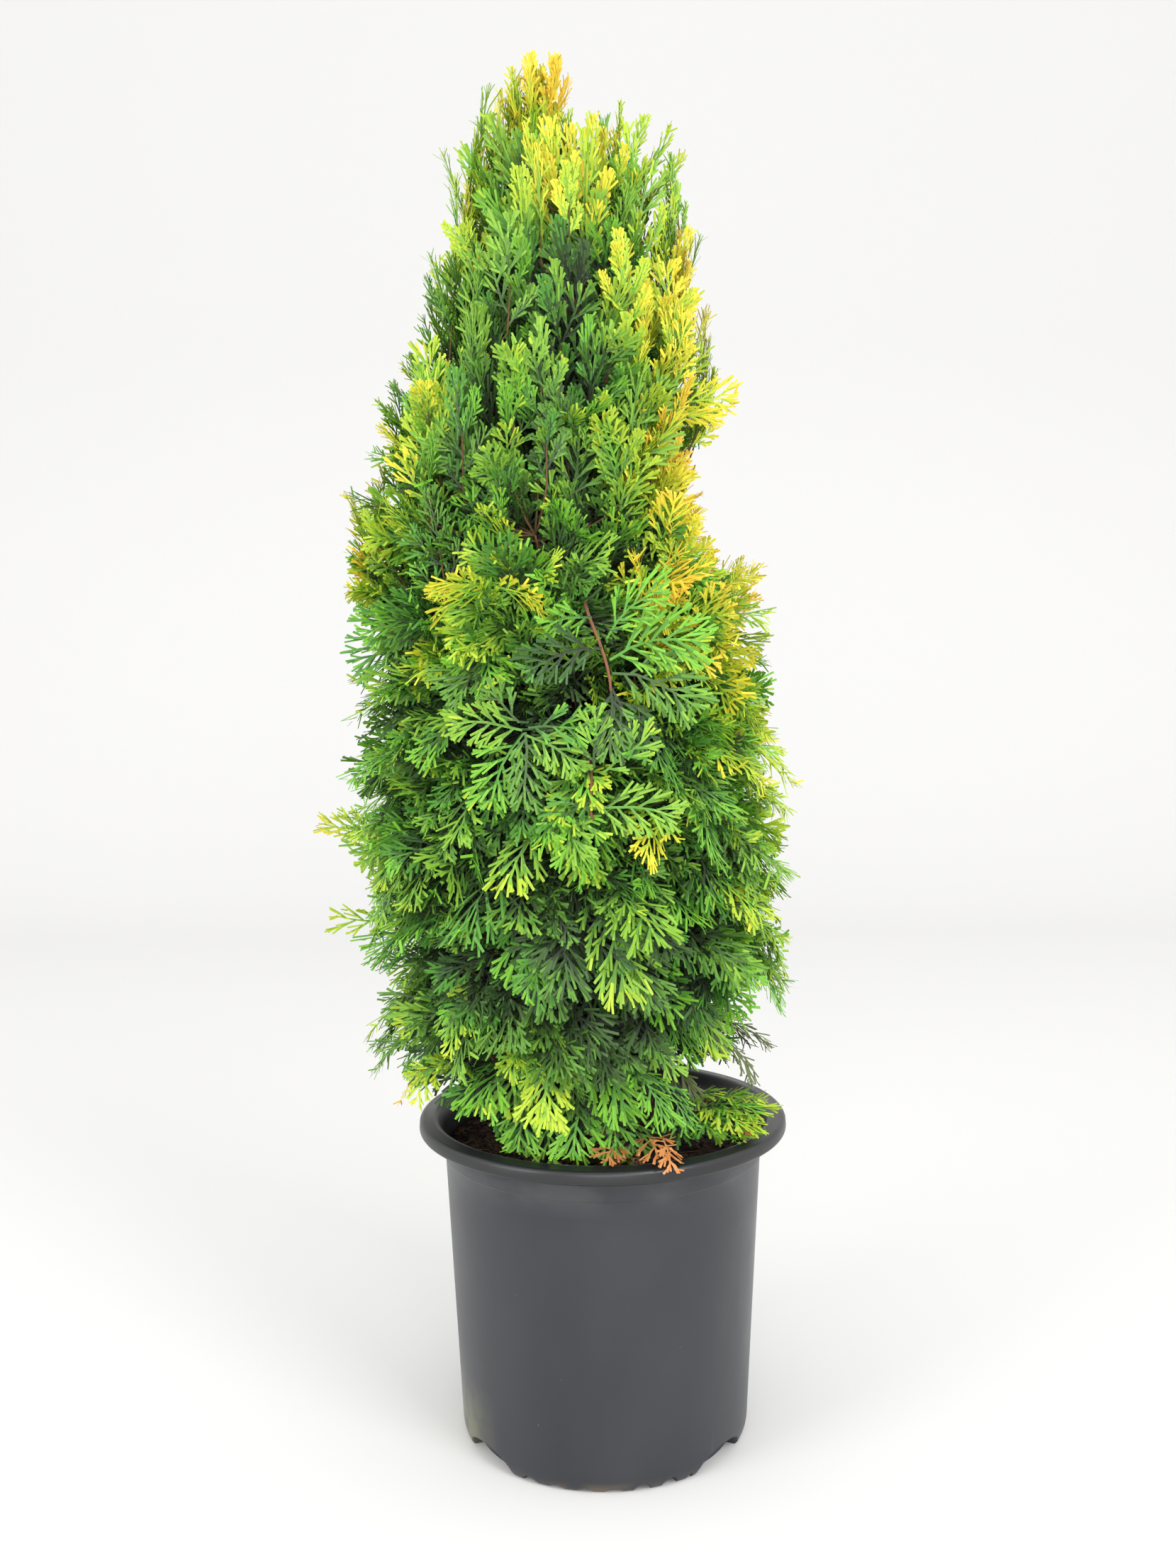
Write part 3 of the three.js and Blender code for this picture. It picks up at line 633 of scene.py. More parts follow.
def strip(centre, headings, widths, bend, level, across):
    """A branchlet along a row of points, as shares of the fan's length, with its places across.

    Each row holds along, across, thickness, three offsets in metres, the level of branching and
    the share along the branchlet.
    """
    rows = []
    count = len(centre)
    for i, ((a, c), (ha, hc), width) in enumerate(zip(centre, headings, widths)):
        share = i / (count - 1)
        for side, ridge in across:
            rows.append((
                a, c, bend * share ** 2,
                -side * hc * width / 2, side * ha * width / 2, ridge * width * 0.3,
                level, share,
            ))
    wide = len(across)
    base = np.arange(count - 1)[:, None] * wide
    quads = [base + (k, k + wide, k + wide + 1, k + 1) for k in range(wide - 1)]
    return np.array(rows), np.concatenate(quads)


def fan(seed, typical, branchlets, opening, half_width, width):
    """A fan typical metres long, in shares of its length: (rows of vertices, quads)."""
    rng = np.random.default_rng(seed)
    parts = []

    def branchlet(start, heading, length, level, inward, steps):
        """A finger that bends towards the fan's tip as it grows, blunt at its end."""
        points, headings = [start], [heading - inward * i / steps for i in range(steps + 1)]
        for now in headings[1:]:
            a, c = points[-1]
            points.append((a + cos(now) * length / steps, c + sin(now) * length / steps))
        vectors = [(cos(h), sin(h)) for h in headings]
        wide = width * rng.uniform(0.9, 1.1)
        widths = np.interp(np.linspace(0, 1, steps + 1), (0, 0.5, 1), (0.8 * wide, wide, 0.72 * wide))
        across = RIDGED if steps > 1 else EDGES
        parts.append(strip(points, vectors, widths, rng.normal(0, 0.05), level, across))
        return points, headings

    axis = [(t, 0.02 * sin(6 * t + seed)) for t in np.linspace(0, 0.92, 5)]
    parts.append(strip(axis, [(1, 0)] * 5, width * np.linspace(0.8, 0.7, 5), 0, 0.34, RIDGED))
    first = 0.10
    gap = (0.86 - first) / (branchlets - 1)
    for i in range(branchlets):
        t = first + gap * (i + rng.uniform(-0.2, 0.2))
        side = 1 if i % 2 else -1
        angle = radians(opening[0] + (opening[1] - opening[0]) * t) * rng.uniform(0.92, 1.08)
        wide = half_width * min(1, 0.55 + 2 * t) * (1 - 0.5 * t) * rng.uniform(0.85, 1.15)
        length = min(wide / sin(angle), (1.0 - t) / cos(angle))
        start = (t, np.interp(t, [a for a, _ in axis], [c for _, c in axis]))
        inward = side * rng.uniform(0.1, 0.35)
        points, headings = branchlet(start, side * angle, length, 0.25 + 0.5 * t, inward, 2)
        forks = int(length * typical / FORK_PACE + rng.uniform(0.2, 0.8))
        for j in range(forks):
            at = 0.16 + 0.72 * (j + rng.uniform(0.1, 0.5)) / forks
            a, c = (np.interp(at, (0, 0.5, 1), values) for values in zip(*points))
            towards_tip = j % 2 == 0
            turn = (-side if towards_tip else side) * rng.uniform(*FORK_TURN)
            room = length * (1.05 - at) * (0.9 if towards_tip else 0.75)
            short = min(room, FORK_LONGEST / typical) * rng.uniform(0.8, 1.1)
            short = max(FORK_SHORTEST / typical, short)
            branchlet((a, c), headings[1] + turn, short, 0.4 + 0.45 * max(t, at), turn * 0.5, 1)
    branchlet((0.9, axis[-1][1]), rng.normal(0, 0.05), 0.1, 0.9, 0, 1)
    return joined(parts)


# typical length, branchlets, opening in degrees at the fan's root and tip, half width, and the
# width of a branchlet
SMALL_FAN = (0.040, 7, (58, 34), 0.44, 0.0021)
MIDDLE_FAN = (0.055, 10, (58, 32), 0.42, 0.0022)
LARGE_FAN = (0.072, 12, (58, 30), 0.42, 0.0023)
NARROW_FAN = (0.050, 9, (36, 20), 0.23, 0.0019)
FAN_LIMITS = (0.047, 0.063)  # where one class of length passes to the next
FANS_PER_CLASS = 4
fans = [
    [fan(40 * c + k + 1, *form) for k in range(FANS_PER_CLASS)]
    for c, form in enumerate((SMALL_FAN, MIDDLE_FAN, LARGE_FAN, NARROW_FAN))
]

# ---------------------------------------------------------------- where the sprays stand
# The source's rule, carried on to many more sprays: twigs leave the stems of the masses and each
# carries a spray, whose tip ends at or under the crown's surface. The tips are dealt evenly over
# it by the golden angle, in an outer and an under coat, and a spray that doesn't fit is left out.
PITCH = np.array([
    # share of the crown's height, pitch at a spray's root and at its tip
    (0, 5, -72),
    (0.3, 18, -60),
    (0.45, 36, -20),
    (0.6, 55, 50),
    (1, 74, 86),
])
PITCH_SPREAD, ROLL_SPREAD, FORK = 34, 50, 38  # degrees
LOW_LENGTH, HIGH_LENGTH, SHORTEST = 0.138, 0.108, 0.050
COATS = [
    # how many tips are tried, and the depth of the tips below the crown's surface
    (800, 0.001, 0.018),
    (680, 0.020, 0.055),
]
GOLDEN_ANGLE = 2.39996
FRONT_TO_BACK = 0.92  # depth of the crown, of its width
APART = 0.0102  # from one spray's middle to the next
STEM_COVER, TWIG_COVER = 0.014, 0.016  # how deep inside the crown stems and twigs stay
TWIG_SAG = np.array([0, 0, 0.005])
HEM = np.array([
    # direction, and how far above the lowest line the foliage ends there
    (-180, 0.020),
    (-165, 0.030),
    (-150, 0.044),
    (-130, 0.044),
    (-116, 0.004),
    (-80, 0.000),
    (-62, 0.030),
    (-45, 0.062),
    (0, 0.060),
    (90, 0.045),
    (180, 0.020),
])
MARGIN = np.array([
    # height, how far a spray keeps inside the outline
    (0.30, 0.013),
    (0.36, 0.022),
    (0.50, 0.022),
    (0.56, 0.011),
    (0.64, 0.002),
    (0.72, 0.000),
])


def margin(height):
    """How far a spray keeps inside: low down its fans add more to its own reach."""
    return read(MARGIN, height)


def depth_of(points):
    """How far points lie inside the crown's outline, in metres."""
    x, y, height = points[..., 0], points[..., 1], points[..., 2]
    return crown_radius(height) - np.hypot(x - crown_axis(height), y / FRONT_TO_BACK)


def inside_crown(points):
    """Which points lie in the crown and over the pot."""
    x, y, height = points[..., 0], points[..., 1], points[..., 2]
    good = (depth_of(points) > margin(height)) & (height < OUTLINE[-1, 0] - 0.001)
    over_soil = np.hypot(x, y) < BODY_TOP_RADIUS - 0.004
    floor = np.where(over_soil, SOIL_LEVEL + SOIL_HEAP + 0.004, POT_HEIGHT + 0.003)
    return good & (height > floor + read(HEM, np.degrees(np.arctan2(y, x))))


def towards(turn, pitch):
    return round_z(np.cos(pitch), turn, np.sin(pitch))


def square_to(along, side):
    """The side directions turned square to the directions along."""
    return unit(side - (side * along).sum(-1, keepdims=True) * along)


def frames(sprays, along):
    """Tangent, side and face of each spray at shares along it, each (sprays, shares, 3)."""
    first = sprays["first"][:, None]
    tangent = unit(first + sprays["change"][:, None] * along[..., None])
    side = square_to(tangent, sprays["side"][:, None])
    return tangent, side, np.cross(tangent, side)


def on_sprays(sprays, along, across, thick):
    """Points of each spray at its own (along, across, thick), as shares of its length."""
    _, side, face = frames(sprays, along)
    along, across, thick = along[..., None], across[..., None], thick[..., None]
    bent = sprays["first"][:, None] * along + sprays["change"][:, None] * along * along / 2
    return sprays["root"][:, None] + (bent + side * across + face * thick) * sprays["length"][:, None, None]


def point_on(sprays, share):
    """The point of each spray at one share along it."""
    along = np.full((len(sprays["length"]), 1), share)
    return on_sprays(sprays, along, 0 * along, 0 * along)[:, 0]


def sprays_of(root, turn, root_pitch, tip_pitch, roll, length, **others):
    """Sprays from their directions in radians, as the source sets them out."""
    first = towards(turn, root_pitch)
    level = np.stack([-np.sin(turn), np.cos(turn), 0 * turn], -1)
    flat = np.cross(first, level)
    side = level * np.cos(roll)[:, None] + flat * np.sin(roll)[:, None]
    change = towards(turn, tip_pitch) - first
    return {"root": root, "first": first, "change": change, "side": side, "length": length, **others}


def picked(sprays, which):
    return {key: value[which] for key, value in sprays.items()}


def together(*lots):
    return {key: np.concatenate([lot[key] for lot in lots]) for key in lots[0]}


def share_up_of(points):
    return (points[..., 2] - OUTLINE[0, 0]) / (OUTLINE[-1, 0] - OUTLINE[0, 0])


TEST = np.array([
    (0.17, 0), (0.5, 0), (1.04, 0), (0.3, 0.40), (0.3, -0.40), (0.6, 0.44), (0.6, -0.44),
    (0.88, 0.3), (0.88, -0.3),
])
TEST_ALONG, TEST_ACROSS = TEST[None, :, 0], TEST[None, :, 1]
CLOSED = np.array([(0.4, 1), (0.7, 0.66), (0.9, 0.5)])  # how the upper sprays hold their fans closer
limb_balls = np.array(
    [(*trunk_point(h), trunk_radius(h) + 0.003) for h in np.linspace(GROUND, TRUNK_TOP, 60)]
)
levels = np.linspace(OUTLINE[0, 0] + 0.03, OUTLINE[-1, 0] - 0.002, 300)
girth = np.cumsum(crown_radius(levels) + 0.012)
stem_points = np.concatenate([bezier(mass["stem"], np.linspace(0.05, 0.8, 18)) for mass in masses])
stem_points = stem_points[depth_of(stem_points) > STEM_COVER]
taken = np.zeros((0, 2, 3))


def coat(seed, count, shallow, deep):
    """One coat of sprays: many tips are dealt and the sprays that fit are kept."""
    global taken
    rng = np.random.default_rng(seed)
    even = (np.arange(count) + rng.uniform(0, 1, count)) / count
    height = np.interp(even * girth[-1], girth, levels)
    turn = GOLDEN_ANGLE * np.arange(count) + rng.normal(0, 0.15, count)
    out = np.maximum(crown_radius(height) - margin(height) - rng.uniform(shallow, deep, count), 0.004)
    tip = np.stack([
        crown_axis(height) + out * np.cos(turn), FRONT_TO_BACK * out * np.sin(turn), height,
    ], -1)
    share_up = share_up_of(tip)
    swing = radians(PITCH_SPREAD) * rng.uniform(-1, 1, count)
    one_coat = sprays_of(
        tip,
        turn + radians(FORK) * rng.uniform(-1, 1, count),
        np.radians(read(PITCH, share_up, 1)) + swing,
        np.radians(read(PITCH, share_up, 2)) + swing,
        radians(ROLL_SPREAD) * rng.uniform(-1, 1, count) * (0.5 + 1.2 * share_up),
        np.interp(share_up, (0.35, 0.75), (LOW_LENGTH, HIGH_LENGTH)) * rng.uniform(0.68, 1, count),
    )
    across = TEST_ACROSS * read(CLOSED, share_up)[:, None]
    fits = np.zeros(count, bool)
    for _ in range(10):
        reach = (one_coat["first"] + one_coat["change"] / 2) * one_coat["length"][:, None]
        one_coat["root"] = tip - reach
        points = on_sprays(one_coat, TEST_ALONG, across, 0 * TEST_ALONG)
        good = inside_crown(points).all(1)
        near = np.linalg.norm(points[:, :3, None] - limb_balls[:, :3], axis=-1) < limb_balls[:, 3]
        fits |= good & ~near.any((1, 2))
        one_coat["length"] = np.where(fits, one_coat["length"], one_coat["length"] * 0.9)
    fits &= one_coat["length"] > SHORTEST * 0.9
    marks = on_sprays(one_coat, TEST_ALONG, across, 0 * TEST_ALONG)[:, [1, 2]]
    keep = []
    for i in np.flatnonzero(fits):
        if len(taken) and np.linalg.norm(taken - marks[i], axis=-1).min() < APART:
            continue
        keep.append(i)
        taken = np.concatenate([taken, marks[i][None]])
    return picked(one_coat, keep)


def nearest_stems(roots):
    """The point of a stem from which each spray's twig leaves, for choice below its root."""
    run = roots[:, None] - stem_points
    cost = np.linalg.norm(run, axis=-1) + 0.8 * np.maximum(0, 0.008 - run[..., 2])
    halfway = (roots[:, None] + stem_points) / 2 - TWIG_SAG
    cost += 5 * np.maximum(0, TWIG_COVER - depth_of(halfway))
    return stem_points[cost.argmin(1)]


sprays = together(*[coat(31 + i, *row) for i, row in enumerate(COATS)])
sprays["start"] = nearest_stems(sprays["root"])

# ---------------------------------------------------------------- the fans of each spray
# A spray carries four fans in turn on its sides and one at its end. They turn their flat faces
# outwards, to the light. Low on the plant their tips hang, near its top they stand up.
SIDE_FANS = [
    # share along the spray, angle from it in degrees, length, side
    (0.08, 56, 0.46, 1),
    (0.20, 50, 0.50, -1),
    (0.33, 43, 0.48, 1),
    (0.46, 36, 0.45, -1),
    (0.44, 0, 0.60, 0),
]
INNER_FANS = [(0.10, 48, 0.60, 1), (0.28, 40, 0.60, -1), (0.40, 0, 0.66, 0)]
FAN_ROLL = 23
FACING = 1.1  # how strongly the fans turn their flat face outwards


def side_fans(sprays, seed, layout):
    """All the fans of the sprays, as sprays themselves."""
    rng = np.random.default_rng(seed)
    n = len(sprays["length"])
    flip = rng.choice([-1, 1], n)
    share_up = share_up_of(sprays["root"])
    sag = np.interp(share_up, (0, 0.45, 0.65, 1), (0.5, 0.3, -0.2, -0.4))
    closed = read(CLOSED, share_up)
    parts = []
    for share, angle, length, side_of in layout:
        tangent, side, face = (v[:, 0] for v in frames(sprays, np.full((n, 1), share)))
        root = point_on(sprays, share)
        turn = np.radians(angle * side_of * flip * closed + rng.normal(0, 6, n))[:, None]
        tilt = rng.normal(0, 0.16, n)[:, None]
        first = unit(tangent * np.cos(turn) + side * np.sin(turn) + face * tilt)
        own_side = unit(side * np.cos(turn) - tangent * np.sin(turn))
        roll = np.radians(rng.normal(0, FAN_ROLL, n))[:, None]
        own_side = own_side * np.cos(roll) + np.cross(first, own_side) * np.sin(roll)
        outward = unit(np.stack([root[:, 0] - crown_axis(root[:, 2]), root[:, 1], 0 * root[:, 2]], -1))
        flat_out = unit(np.cross(outward, first))
        flat_out *= np.where((flat_out * own_side).sum(-1, keepdims=True) < 0, -1, 1)
        own_side = square_to(first, own_side + FACING * flat_out)
        change = (tangent - first) * 0.45 - sag[:, None] * (0, 0, 1)
        parts.append({
            "root": root, "first": first, "change": change, "side": own_side,
            "length": sprays["length"] * length * rng.uniform(0.85, 1.08, n),
            "spray": np.arange(n),
        })
    return together(*parts)


leafy = side_fans(sprays, 301, SIDE_FANS)

# Two broad sprays in front lie over the others. Their fans are in the table further down, and
# the sprays that would cover them are left out.
PARTED = np.array([(0.014, 0.586, 0.034), (-0.052, 0.540, 0.030)])  # sideways place, height, reach
PARTED_FROM = -0.095  # only sprays further forward are left out
spray_tips = point_on(sprays, 0.7)
away = np.hypot(spray_tips[:, :1] - PARTED[:, 0], spray_tips[:, 2:] - PARTED[:, 1])
covering = (away < PARTED[:, 2]).any(1) & (spray_tips[:, 1] < PARTED_FROM)
leafy = picked(leafy, ~covering[leafy["spray"]])

# foliage on the trunk and the boughs, behind the outer sprays, painted dark further down as painted shade
rng = np.random.default_rng(99)
inner = [(trunk_point(h), 4.2 * i) for i, h in enumerate(np.linspace(0.30, 0.95, 210))]
for mass in masses:
    if "bough" in mass:
        for share in (0.3, 0.5, 0.7, 0.9, 1.2, 1.5):
            curve = mass["bough"] if share < 1 else mass["stem"]
            inner.append((bezier(curve, share % 1), atan2(mass["out"][1], mass["out"][0])))
n = len(inner)
root = np.array([at for at, _ in inner])
turn = np.array([t for _, t in inner]) + rng.uniform(-0.9, 0.9, n)
pitch = rng.uniform(-0.3, 0.9, n)
dark = sprays_of(root, turn, pitch, pitch - 0.4, rng.uniform(-1.2, 1.2, n), rng.uniform(0.07, 0.1, n))
test_points = on_sprays(dark, TEST_ALONG, TEST_ACROSS, 0 * TEST_ALONG)
good = (depth_of(test_points) > 0.012).all(1)
dark = side_fans(picked(dark, good), 302, INNER_FANS)

# fans that keep a place of their own
DULL, WITHERED, DEAD = 200, 300, 400
LONE_FANS = np.array([
    # root in mm, turn, pitch at root and tip, roll, length in mm, how light in hundredths
    # the sprig over the rim on the right
    (66, -30, 254, -80, 24, -22, 10, 62, 3),
    (68, -31, 255, -58, 28, -26, -8, 74, 11),
    (70, -30, 256, -38, 32, -24, 12, 70, 17),
    (70, -26, 256, -14, 36, -18, -14, 60, 12),
    (66, -34, 254, -48, 8, -20, 30, 64, 10),
    (60, -30, 258, -66, 46, 0, 20, 50, 0),
    (40, -30, 252, -62, 12, -30, 20, 48, -10),
    (50, -20, 252, -30, 18, -24, -30, 46, -12),
    (30, -20, 256, -40, 20, -30, 40, 50, -14),
    # thin dull sprigs above it
    (50, -20, 335, -30, -10, -60, 30, 62, DULL),
    (62, -22, 330, 10, -5, -58, -20, 66, DULL),
    (78, -10, 322, -12, 0, -50, 15, 60, DULL),
    (45, -30, 300, -50, -20, -62, 40, 54, DULL),
    (60, 10, 305, 30, -15, -55, 0, 58, DULL),
    (86, -22, 310, -40, -20, -66, 10, 50, DULL),
    # a low dark fan in front, and withered and dead ones at the rim
    (18, -62, 266, -88, 0, -42, 8, 54, -10),
    (20, -84, 248, -98, -4, -20, -12, 36, WITHERED),
    (32, -88, 257, -84, 6, -22, 14, 44, DEAD),
    (42, -108, 259, -84, -2, -46, -30, 34, DEAD),
    (10, -92, 252, -104, 8, -14, -10, 40, DEAD),
    (98, -58, 256, -70, -8, -40, 30, 18, DEAD),
    # the lowest fans in front, over the medium
    (-56, -76, 288, -98, -38, -80, 14, 56, -3),
    (-50, -70, 284, -118, -40, -78, -26, 48, -8),
    (-18, -82, 293, -94, -32, -80, -10, 64, -1),
    (-2, -80, 288, -70, -30, -78, 18, 60, -2),
    (-34, -92, 318, -100, -20, -72, 8, 64, 12),
    (16, -88, 312, -50, -20, -68, -12, 64, 2),
    (32, -80, 300, -34, -28, -70, 10, 56, 0),
    (-40, -80, 272, -84, -40, -80, 26, 42, -7),
    # the two broad sprays in front
    (1, -135, 602, 186, -6, -28, 82, 56, -11),
    (-5, -133, 622, 198, 4, -30, 76, 36, 3),
    (6, -135, 594, -6, 28, -8, 84, 72, -5),
    (8, -135, 584, -4, -2, -44, 80, 70, -11),
    (4, -133, 608, -16, 56, 20, 66, 58, -1),
    (7, -135, 574, -90, -80, -88, 8, 48, -19),
    (8, -135, 574, 0, -56, -76, 84, 50, -21),
    (-52, -129, 548, 184, 14, -6, 84, 52, 6),
    (-52, -131, 546, 180, -56, -74, 84, 58, 0),
    (-50, -133, 546, -90, -80, -88, 0, 52, -7),
    (-48, -133, 548, -8, 10, -12, 82, 46, 8),
    (-50, -133, 545, -4, -20, -52, 80, 48, -1),
    (-54, -129, 552, 180, 52, 40, 80, 34, 3),
    (-4, -137, 522, -90, 80, 86, 10, 42, -1),
    (2, -137, 518, -8, 42, 40, 80, 46, -1),
    (-6, -139, 497, -4, 0, -16, 82, 60, 2),
    (-6, -139, 500, 182, -12, -60, 82, 40, -3),
    # sprigs that stand out of the crown, and golden ones
    (-160, -20, 468, 184, -6, 22, 50, 50, 22),
    (-156, -10, 462, 170, 10, 30, 60, 44, 14),
    (-154, -30, 402, 186, -2, 12, 60, 46, 30),
    (46, -30, 772, -12, 8, 4, 60, 56, 40),
    (44, -34, 764, -24, 4, -14, 75, 50, 34),
    (-62, -114, 644, 192, 10, -20, 62, 56, 32),
    (-76, -116, 640, 212, -8, -40, 50, 46, 30),
    (-70, -118, 642, -44, 0, -30, -48, 48, 30),
    (-120, -50, 300, 200, -20, -66, 20, 44, 40),
    (-116, -62, 304, 220, -26, -70, -10, 40, 24),
    # the second top and the leader
    (22, -12, 944, 20, 60, 74, 30, 42, 24),
    (34, -8, 934, -10, 54, 70, -20, 46, 22),
    (40, 4, 926, 0, 44, 62, 50, 42, 18),
    (-48, -4, 975, 170, 66, 84, 40, 46, 34),
    (-42, -6, 980, -120, 72, 88, 0, 44, 40),
    (-36, -4, 978, -50, 68, 86, -30, 46, 44),
    (-34, 2, 972, 20, 58, 80, 20, 46, 46),
    (-42, 4, 980, 90, 74, 88, 60, 42, 36),
    (-52, 0, 962, 196, 54, 82, -40, 44, 28),
])
turn, root_pitch, tip_pitch, roll = np.radians(LONE_FANS[:, 3:7]).T
lone = sprays_of(LONE_FANS[:, :3] / 1000, turn, root_pitch, tip_pitch, roll, LONE_FANS[:, 7] / 1000)
leafy["kind"] = np.zeros(len(leafy["length"]), int)
dark["kind"] = np.ones(len(dark["length"]), int)
lone["spray"] = np.zeros(len(LONE_FANS), int)
lone["kind"] = np.full(len(LONE_FANS), 2)
leafy = together(leafy, dark, lone)

# ---------------------------------------------------------------- leaves
# Faces deep in the crown and the inner fans are painted dark, as painted shade; the outer fans are bright
# green, and the young tips lime to gold. Gold gathers at the top and down the right side, with a few golden
# sprays elsewhere, and some patches are painted darker as painted shade.
TONES = [
    # name, upper limit of its tone, base colour
    # deep is the colour of the painted shade deep in the crown
    ("deep", 0.15, (0.036, 0.053, 0.029)),
    ("dark", 0.30, (0.062, 0.121, 0.036)),
    ("green", 0.44, (0.115, 0.267, 0.040)),
    ("bright", 0.58, (0.212, 0.412, 0.042)),
    ("lime", 0.72, (0.405, 0.555, 0.040)),
    ("yellow", 0.86, (0.665, 0.625, 0.045)),
    ("gold", 1.4, (0.850, 0.605, 0.058)),
    ("dull", 2.7, (0.125, 0.155, 0.060)),
    ("withered", 3.7, (0.230, 0.115, 0.050)),
    ("dead", 9.0, (0.560, 0.235, 0.075)),
]
FRESH = {
    # the purer greens that some of the fans have
    "dark": (0.053, 0.123, 0.033),
    "green": (0.092, 0.272, 0.038),
    "bright": (0.172, 0.424, 0.037),
}
FRESH_SHARE = 0.45
GOLD_AND_SHADE = np.array([
    # sideways place, height and reach of a patch in mm, how much lighter it is in hundredths: golden
    # patches are lighter, and the darker ones below zero are painted shade
    (-35, 995, 34, 34),
    (-8, 952, 26, 20),
    (34, 930, 36, 3),
    (64, 850, 30, 40),
    (36, 805, 22, 30),
    (92, 775, 18, 30),
    (68, 700, 36, 38),
    (90, 615, 34, 26),
    (129, 450, 40, 16),
    (-130, 660, 50, 8),
    (-66, 672, 30, -13),
    (-140, 705, 45, 18),
    (80, 690, 50, 14),
    (-110, 800, 45, -5),
    (-94, 881, 20, 24),
    (-178, 453, 30, 16),
    (-34, 300, 18, 24),
    (-10, 530, 16, 16),
    (90, 570, 60, 12),
    (-10, 575, 55, 5),
    (110, 490, 40, 5),
    (-140, 340, 60, 14),
    (-130, 480, 50, 5),
    (-80, 920, 35, -5),
    (60, 890, 30, -5),
    (110, 350, 50, 7),
    (-10, 790, 45, -14),
    (-20, 430, 70, -14),
    (-10, 300, 50, -10),
    (0, 880, 30, -6),
])


def spray_tones(lot, seed):
    """How light each spray is, from its place in the crown and by chance."""
    rng = np.random.default_rng(seed)
    tip = point_on(lot, 0.75)
    x, height = tip[:, 0], tip[:, 2]
    # golden patches, and patches painted darker as painted shade
    across, up, reach = GOLD_AND_SHADE[:, :3].T / 1000
    away = np.hypot(x[:, None] - across, height[:, None] - up) / reach
    gold_and_shade = (GOLD_AND_SHADE[:, 3] / 100 * np.exp(-away ** 2 / 2)).sum(1)
    gold_and_shade *= rng.uniform(0.5, 1.2, len(x))
    top = 0.07 * np.clip((height - 0.66) / 0.32, 0, 1)
    drift = 0.09 * waves(x, height + tip[:, 1], 21, 40)
    rare = np.where(rng.uniform(0, 1, len(x)) < 0.03, 0.16, 0)
    return top + gold_and_shade + drift + rare + rng.normal(0, 0.040, len(x))


# the inner fans are painted darker, as painted shade
INSIDE_TONE = -0.12
outer_tones = spray_tones(sprays, 77)[leafy["spray"] % len(sprays["length"])]
lightness = np.where(leafy["kind"] == 0, outer_tones, INSIDE_TONE)
lightness[leafy["kind"] == 2] = LONE_FANS[:, 8] / 100
lightness += np.random.default_rng(78).normal(0, 0.055, len(lightness))
# the tone a fan starts from, and how much lighter its outer branchlets and their tips are
BASE_TONE, LEVEL_LIGHT, TIP_LIGHT = 0.199, 0.24, 0.25
# painted shade: faces that lie deeper in the crown are painted darker
SHADE, SHADE_FROM, SHADE_REACH = 0.42, 0.019, 0.064  # darker by this, over a depth in the crown
LAID_OVER = 0.0012  # foliage that meets the rim lies on it, this far off
OVER_RIM = (BODY_TOP_RADIUS - 0.006, RIM_RADIUS + LAID_OVER)
class_of = np.digitize(leafy["length"], FAN_LIMITS)
narrow = share_up_of(leafy["root"]) + np.random.default_rng(8).normal(0, 0.15, len(class_of)) > 0.62
class_of = np.where(narrow | (lightness > 1.5) & (lightness < 2.5), 3, class_of)
variant = np.arange(len(class_of)) % FANS_PER_CLASS
rng = np.random.default_rng(5)
colors = {name: color for name, _, color in TONES}
colors.update({f"{name}_fresh": color for name, color in FRESH.items()})
pieces_by_tone = {name: [] for name in colors}
fresh_fans = np.random.default_rng(12).uniform(0, 1, len(class_of)) < FRESH_SHARE
for c in range(len(fans)):
    for k in range(FANS_PER_CLASS):
        rows, quads = fans[c][k]
        chosen = np.flatnonzero((class_of == c) & (variant == k))
        if not len(chosen):
            continue
        these = picked(leafy, chosen)
        length = these["length"][:, None]
        mid, out, bend, *widths, level, own_share = rows.T[:, None]
        along, across, thick = mid + widths[0] / length, out + widths[1] / length, bend + widths[2] / length
        cup = rng.normal(-0.2, 0.5, (len(chosen), 1)) * out ** 2
        points = on_sprays(these, along, across, thick + cup)
        from_pot_axis = np.hypot(points[..., 0], points[..., 1])
        over_rim = (from_pot_axis > OVER_RIM[0]) & (from_pot_axis < OVER_RIM[1])
        laid = np.maximum(points[..., 2], POT_HEIGHT + LAID_OVER)
        points[..., 2] = np.where(over_rim, laid, points[..., 2])
        # the last term is painted shade, darker with depth in the crown
        tone = (
            BASE_TONE + lightness[chosen][:, None]
            + LEVEL_LIGHT * level + TIP_LIGHT * own_share ** 3 * (level > 0.2)
            - SHADE * np.clip((depth_of(points) - SHADE_FROM) / SHADE_REACH, 0, 1)
        )
        face_tone = tone[:, quads].mean(-1) + rng.normal(0, 0.02, (len(chosen), len(quads)))
        tint = np.digitize(face_tone, [limit for _, limit, _ in TONES])
        faces = quads[None] + (np.arange(len(chosen)) * rows.shape[0])[:, None, None]
        flat_points = points.reshape(-1, 3)
        own_fresh = np.repeat(fresh_fans[chosen][:, None], len(quads), 1)
        for number, (name, _, _) in enumerate(TONES):
            fresh = own_fresh & (name in FRESH)
            for sort, own in ((name, ~fresh), (f"{name}_fresh", fresh)):
                which = (tint == number) & own
                if which.any():
                    used, packed = np.unique(faces[which], return_inverse=True)
                    pieces_by_tone[sort].append((flat_points[used], packed.reshape(-1, 4)))

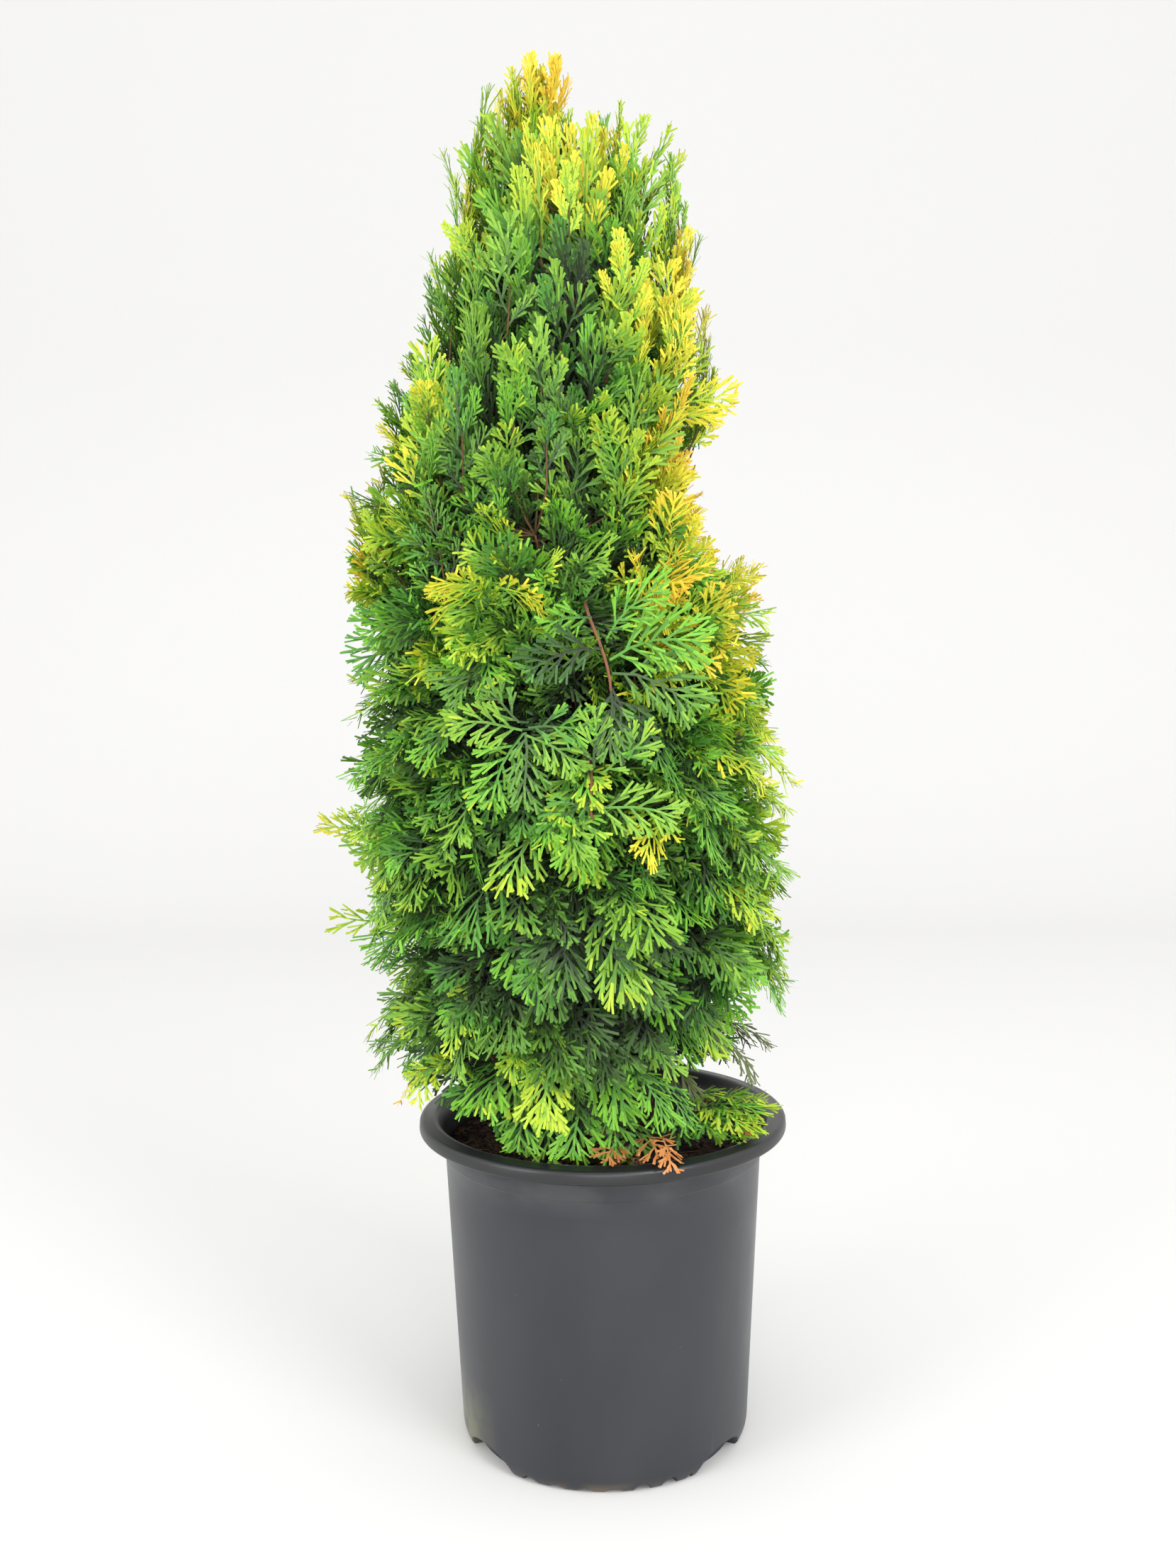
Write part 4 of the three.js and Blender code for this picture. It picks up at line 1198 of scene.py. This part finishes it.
foliage_nodes = [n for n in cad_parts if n.startswith("foliage_")]
LEAF_LIMIT = 95000  # quads in one piece
for name, color in colors.items():
    if not pieces_by_tone[name]:
        continue
    points, quads = joined(pieces_by_tone[name])
    leaf = plain_material(f"leaf_{name}", color, 0.5, 0.27)
    for part, start in enumerate(range(0, len(quads), LEAF_LIMIT)):
        used, packed = np.unique(quads[start:start + LEAF_LIMIT], return_inverse=True)
        title = f"leaves_{name}_{part + 1}"
        made = new_object(title, mesh_from(title, points[used], packed.reshape(-1, 4)), leaf)
        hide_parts(*foliage_nodes)

# ---------------------------------------------------------------- twigs
# Each spray hangs on a thin twig from its mass's stem and has a midrib of its own, green-brown
# and a little bowed. Two reddish twigs show in the open in front.
TWIG_RADII, BARE_TWIG_RADII = (0.0009, 0.0005), (0.0013, 0.0009)  # at root and tip
BARE_TWIGS = [
    [(-0.010, -0.110, 0.634), (-0.008, -0.132, 0.618), (0.006, -0.136, 0.598), (0.007, -0.137, 0.573)],
    [(-0.008, -0.112, 0.528), (-0.004, -0.138, 0.512), (-0.009, -0.140, 0.500), (-0.006, -0.140, 0.488)],
]
sprays = picked(sprays, ~covering)
share = np.linspace(0, 1, 4)[None, :, None]
run = sprays["root"] - sprays["start"]
to_root = sprays["start"][:, None] + run[:, None] * share - TWIG_SAG * np.sin(share * pi)
ribs = np.linspace(0.08, 0.5, 4)[None].repeat(len(run), 0)
paths = np.concatenate([to_root, on_sprays(sprays, ribs, 0 * ribs, 0 * ribs)], 1)
# no twig bows out of the crown
axis_x, room = crown_axis(paths[..., 2]), crown_radius(paths[..., 2]) - 0.008
from_axis = np.hypot(paths[..., 0] - axis_x, paths[..., 1] / FRONT_TO_BACK)
inward = np.minimum(1, room / np.maximum(from_axis, 0.001))
paths[..., 0] = axis_x + (paths[..., 0] - axis_x) * inward
paths[..., 1] *= inward
twigs = [tube(path, np.linspace(*TWIG_RADII, 8), 4) for path in paths]
twig_bark = plain_material("twig_bark", (0.13, 0.07, 0.03), 0.8, 0.25)
twig_object = piece_of_tubes("twigs", twigs, twig_bark, smooth=False)
share = np.linspace(0, 1, 12)
bare = [tube(bezier(path, share), np.linspace(*BARE_TWIG_RADII, 12), 7, 0.08, 3) for path in BARE_TWIGS]
young_bark = plain_material("young_bark", (0.20, 0.085, 0.045), 0.7, 0.25)
bare_object = piece_of_tubes("bare_twigs", bare, young_bark)
stem_object = piece_of_tubes("stems", stems, bark)
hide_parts(*foliage_nodes)

# ---------------------------------------------------------------- floor and light
# A pale seamless floor that sweeps up behind the plant, under soft, even light from above, both
# sides and the front.
sweep = [(-6.0, 0.0), (2.0, 0.0)]
sweep += [(2.0 + 1.5 * sin(a), 1.5 - 1.5 * cos(a)) for a in np.linspace(0.05, pi / 2, 24)]
sweep += [(3.5, 7.0)]
made = bmesh.new()
left = [made.verts.new((-7, y, z)) for y, z in sweep]
right = [made.verts.new((7, y, z)) for y, z in sweep]
for i in range(len(sweep) - 1):
    made.faces.new((left[i], right[i], right[i + 1], left[i + 1]))
floor_mesh = bpy.data.meshes.new("floor")
made.to_mesh(floor_mesh)
made.free()
floor = bpy.data.objects.new("floor", floor_mesh)
bpy.context.scene.collection.objects.link(floor)
shade_smooth(floor, 60)
floor.data.materials.append(plain_material("floor", (0.69, 0.687, 0.678), 0.9, 0.1))

world = bpy.data.worlds.new("studio")
bpy.context.scene.world = world
world.use_nodes = True
world.node_tree.nodes["Background"].inputs["Color"].default_value = (1, 1, 1, 1)
world.node_tree.nodes["Background"].inputs["Strength"].default_value = 1.3


def area_light(name, location, target, size, power):
    data = bpy.data.lights.new(name, "AREA")
    data.shape = "RECTANGLE"
    data.size, data.size_y = size
    data.energy = power
    made = bpy.data.objects.new(name, data)
    made.location = location
    made.rotation_euler = (Vector(target) - Vector(location)).to_track_quat("-Z", "Y").to_euler()
    bpy.context.scene.collection.objects.link(made)


area_light("key", (1.5, -1.9, 2.3), (0, 0, 0.55), (1.2, 1.2), 38)
area_light("fill", (-1.9, -1.4, 1.3), (0, 0, 0.5), (1.0, 1.8), 22)
area_light("front", (0.1, -2.6, 1.2), (0, 0, 0.6), (1.4, 1.4), 20)
bpy.context.scene.view_settings.view_transform = "Standard"
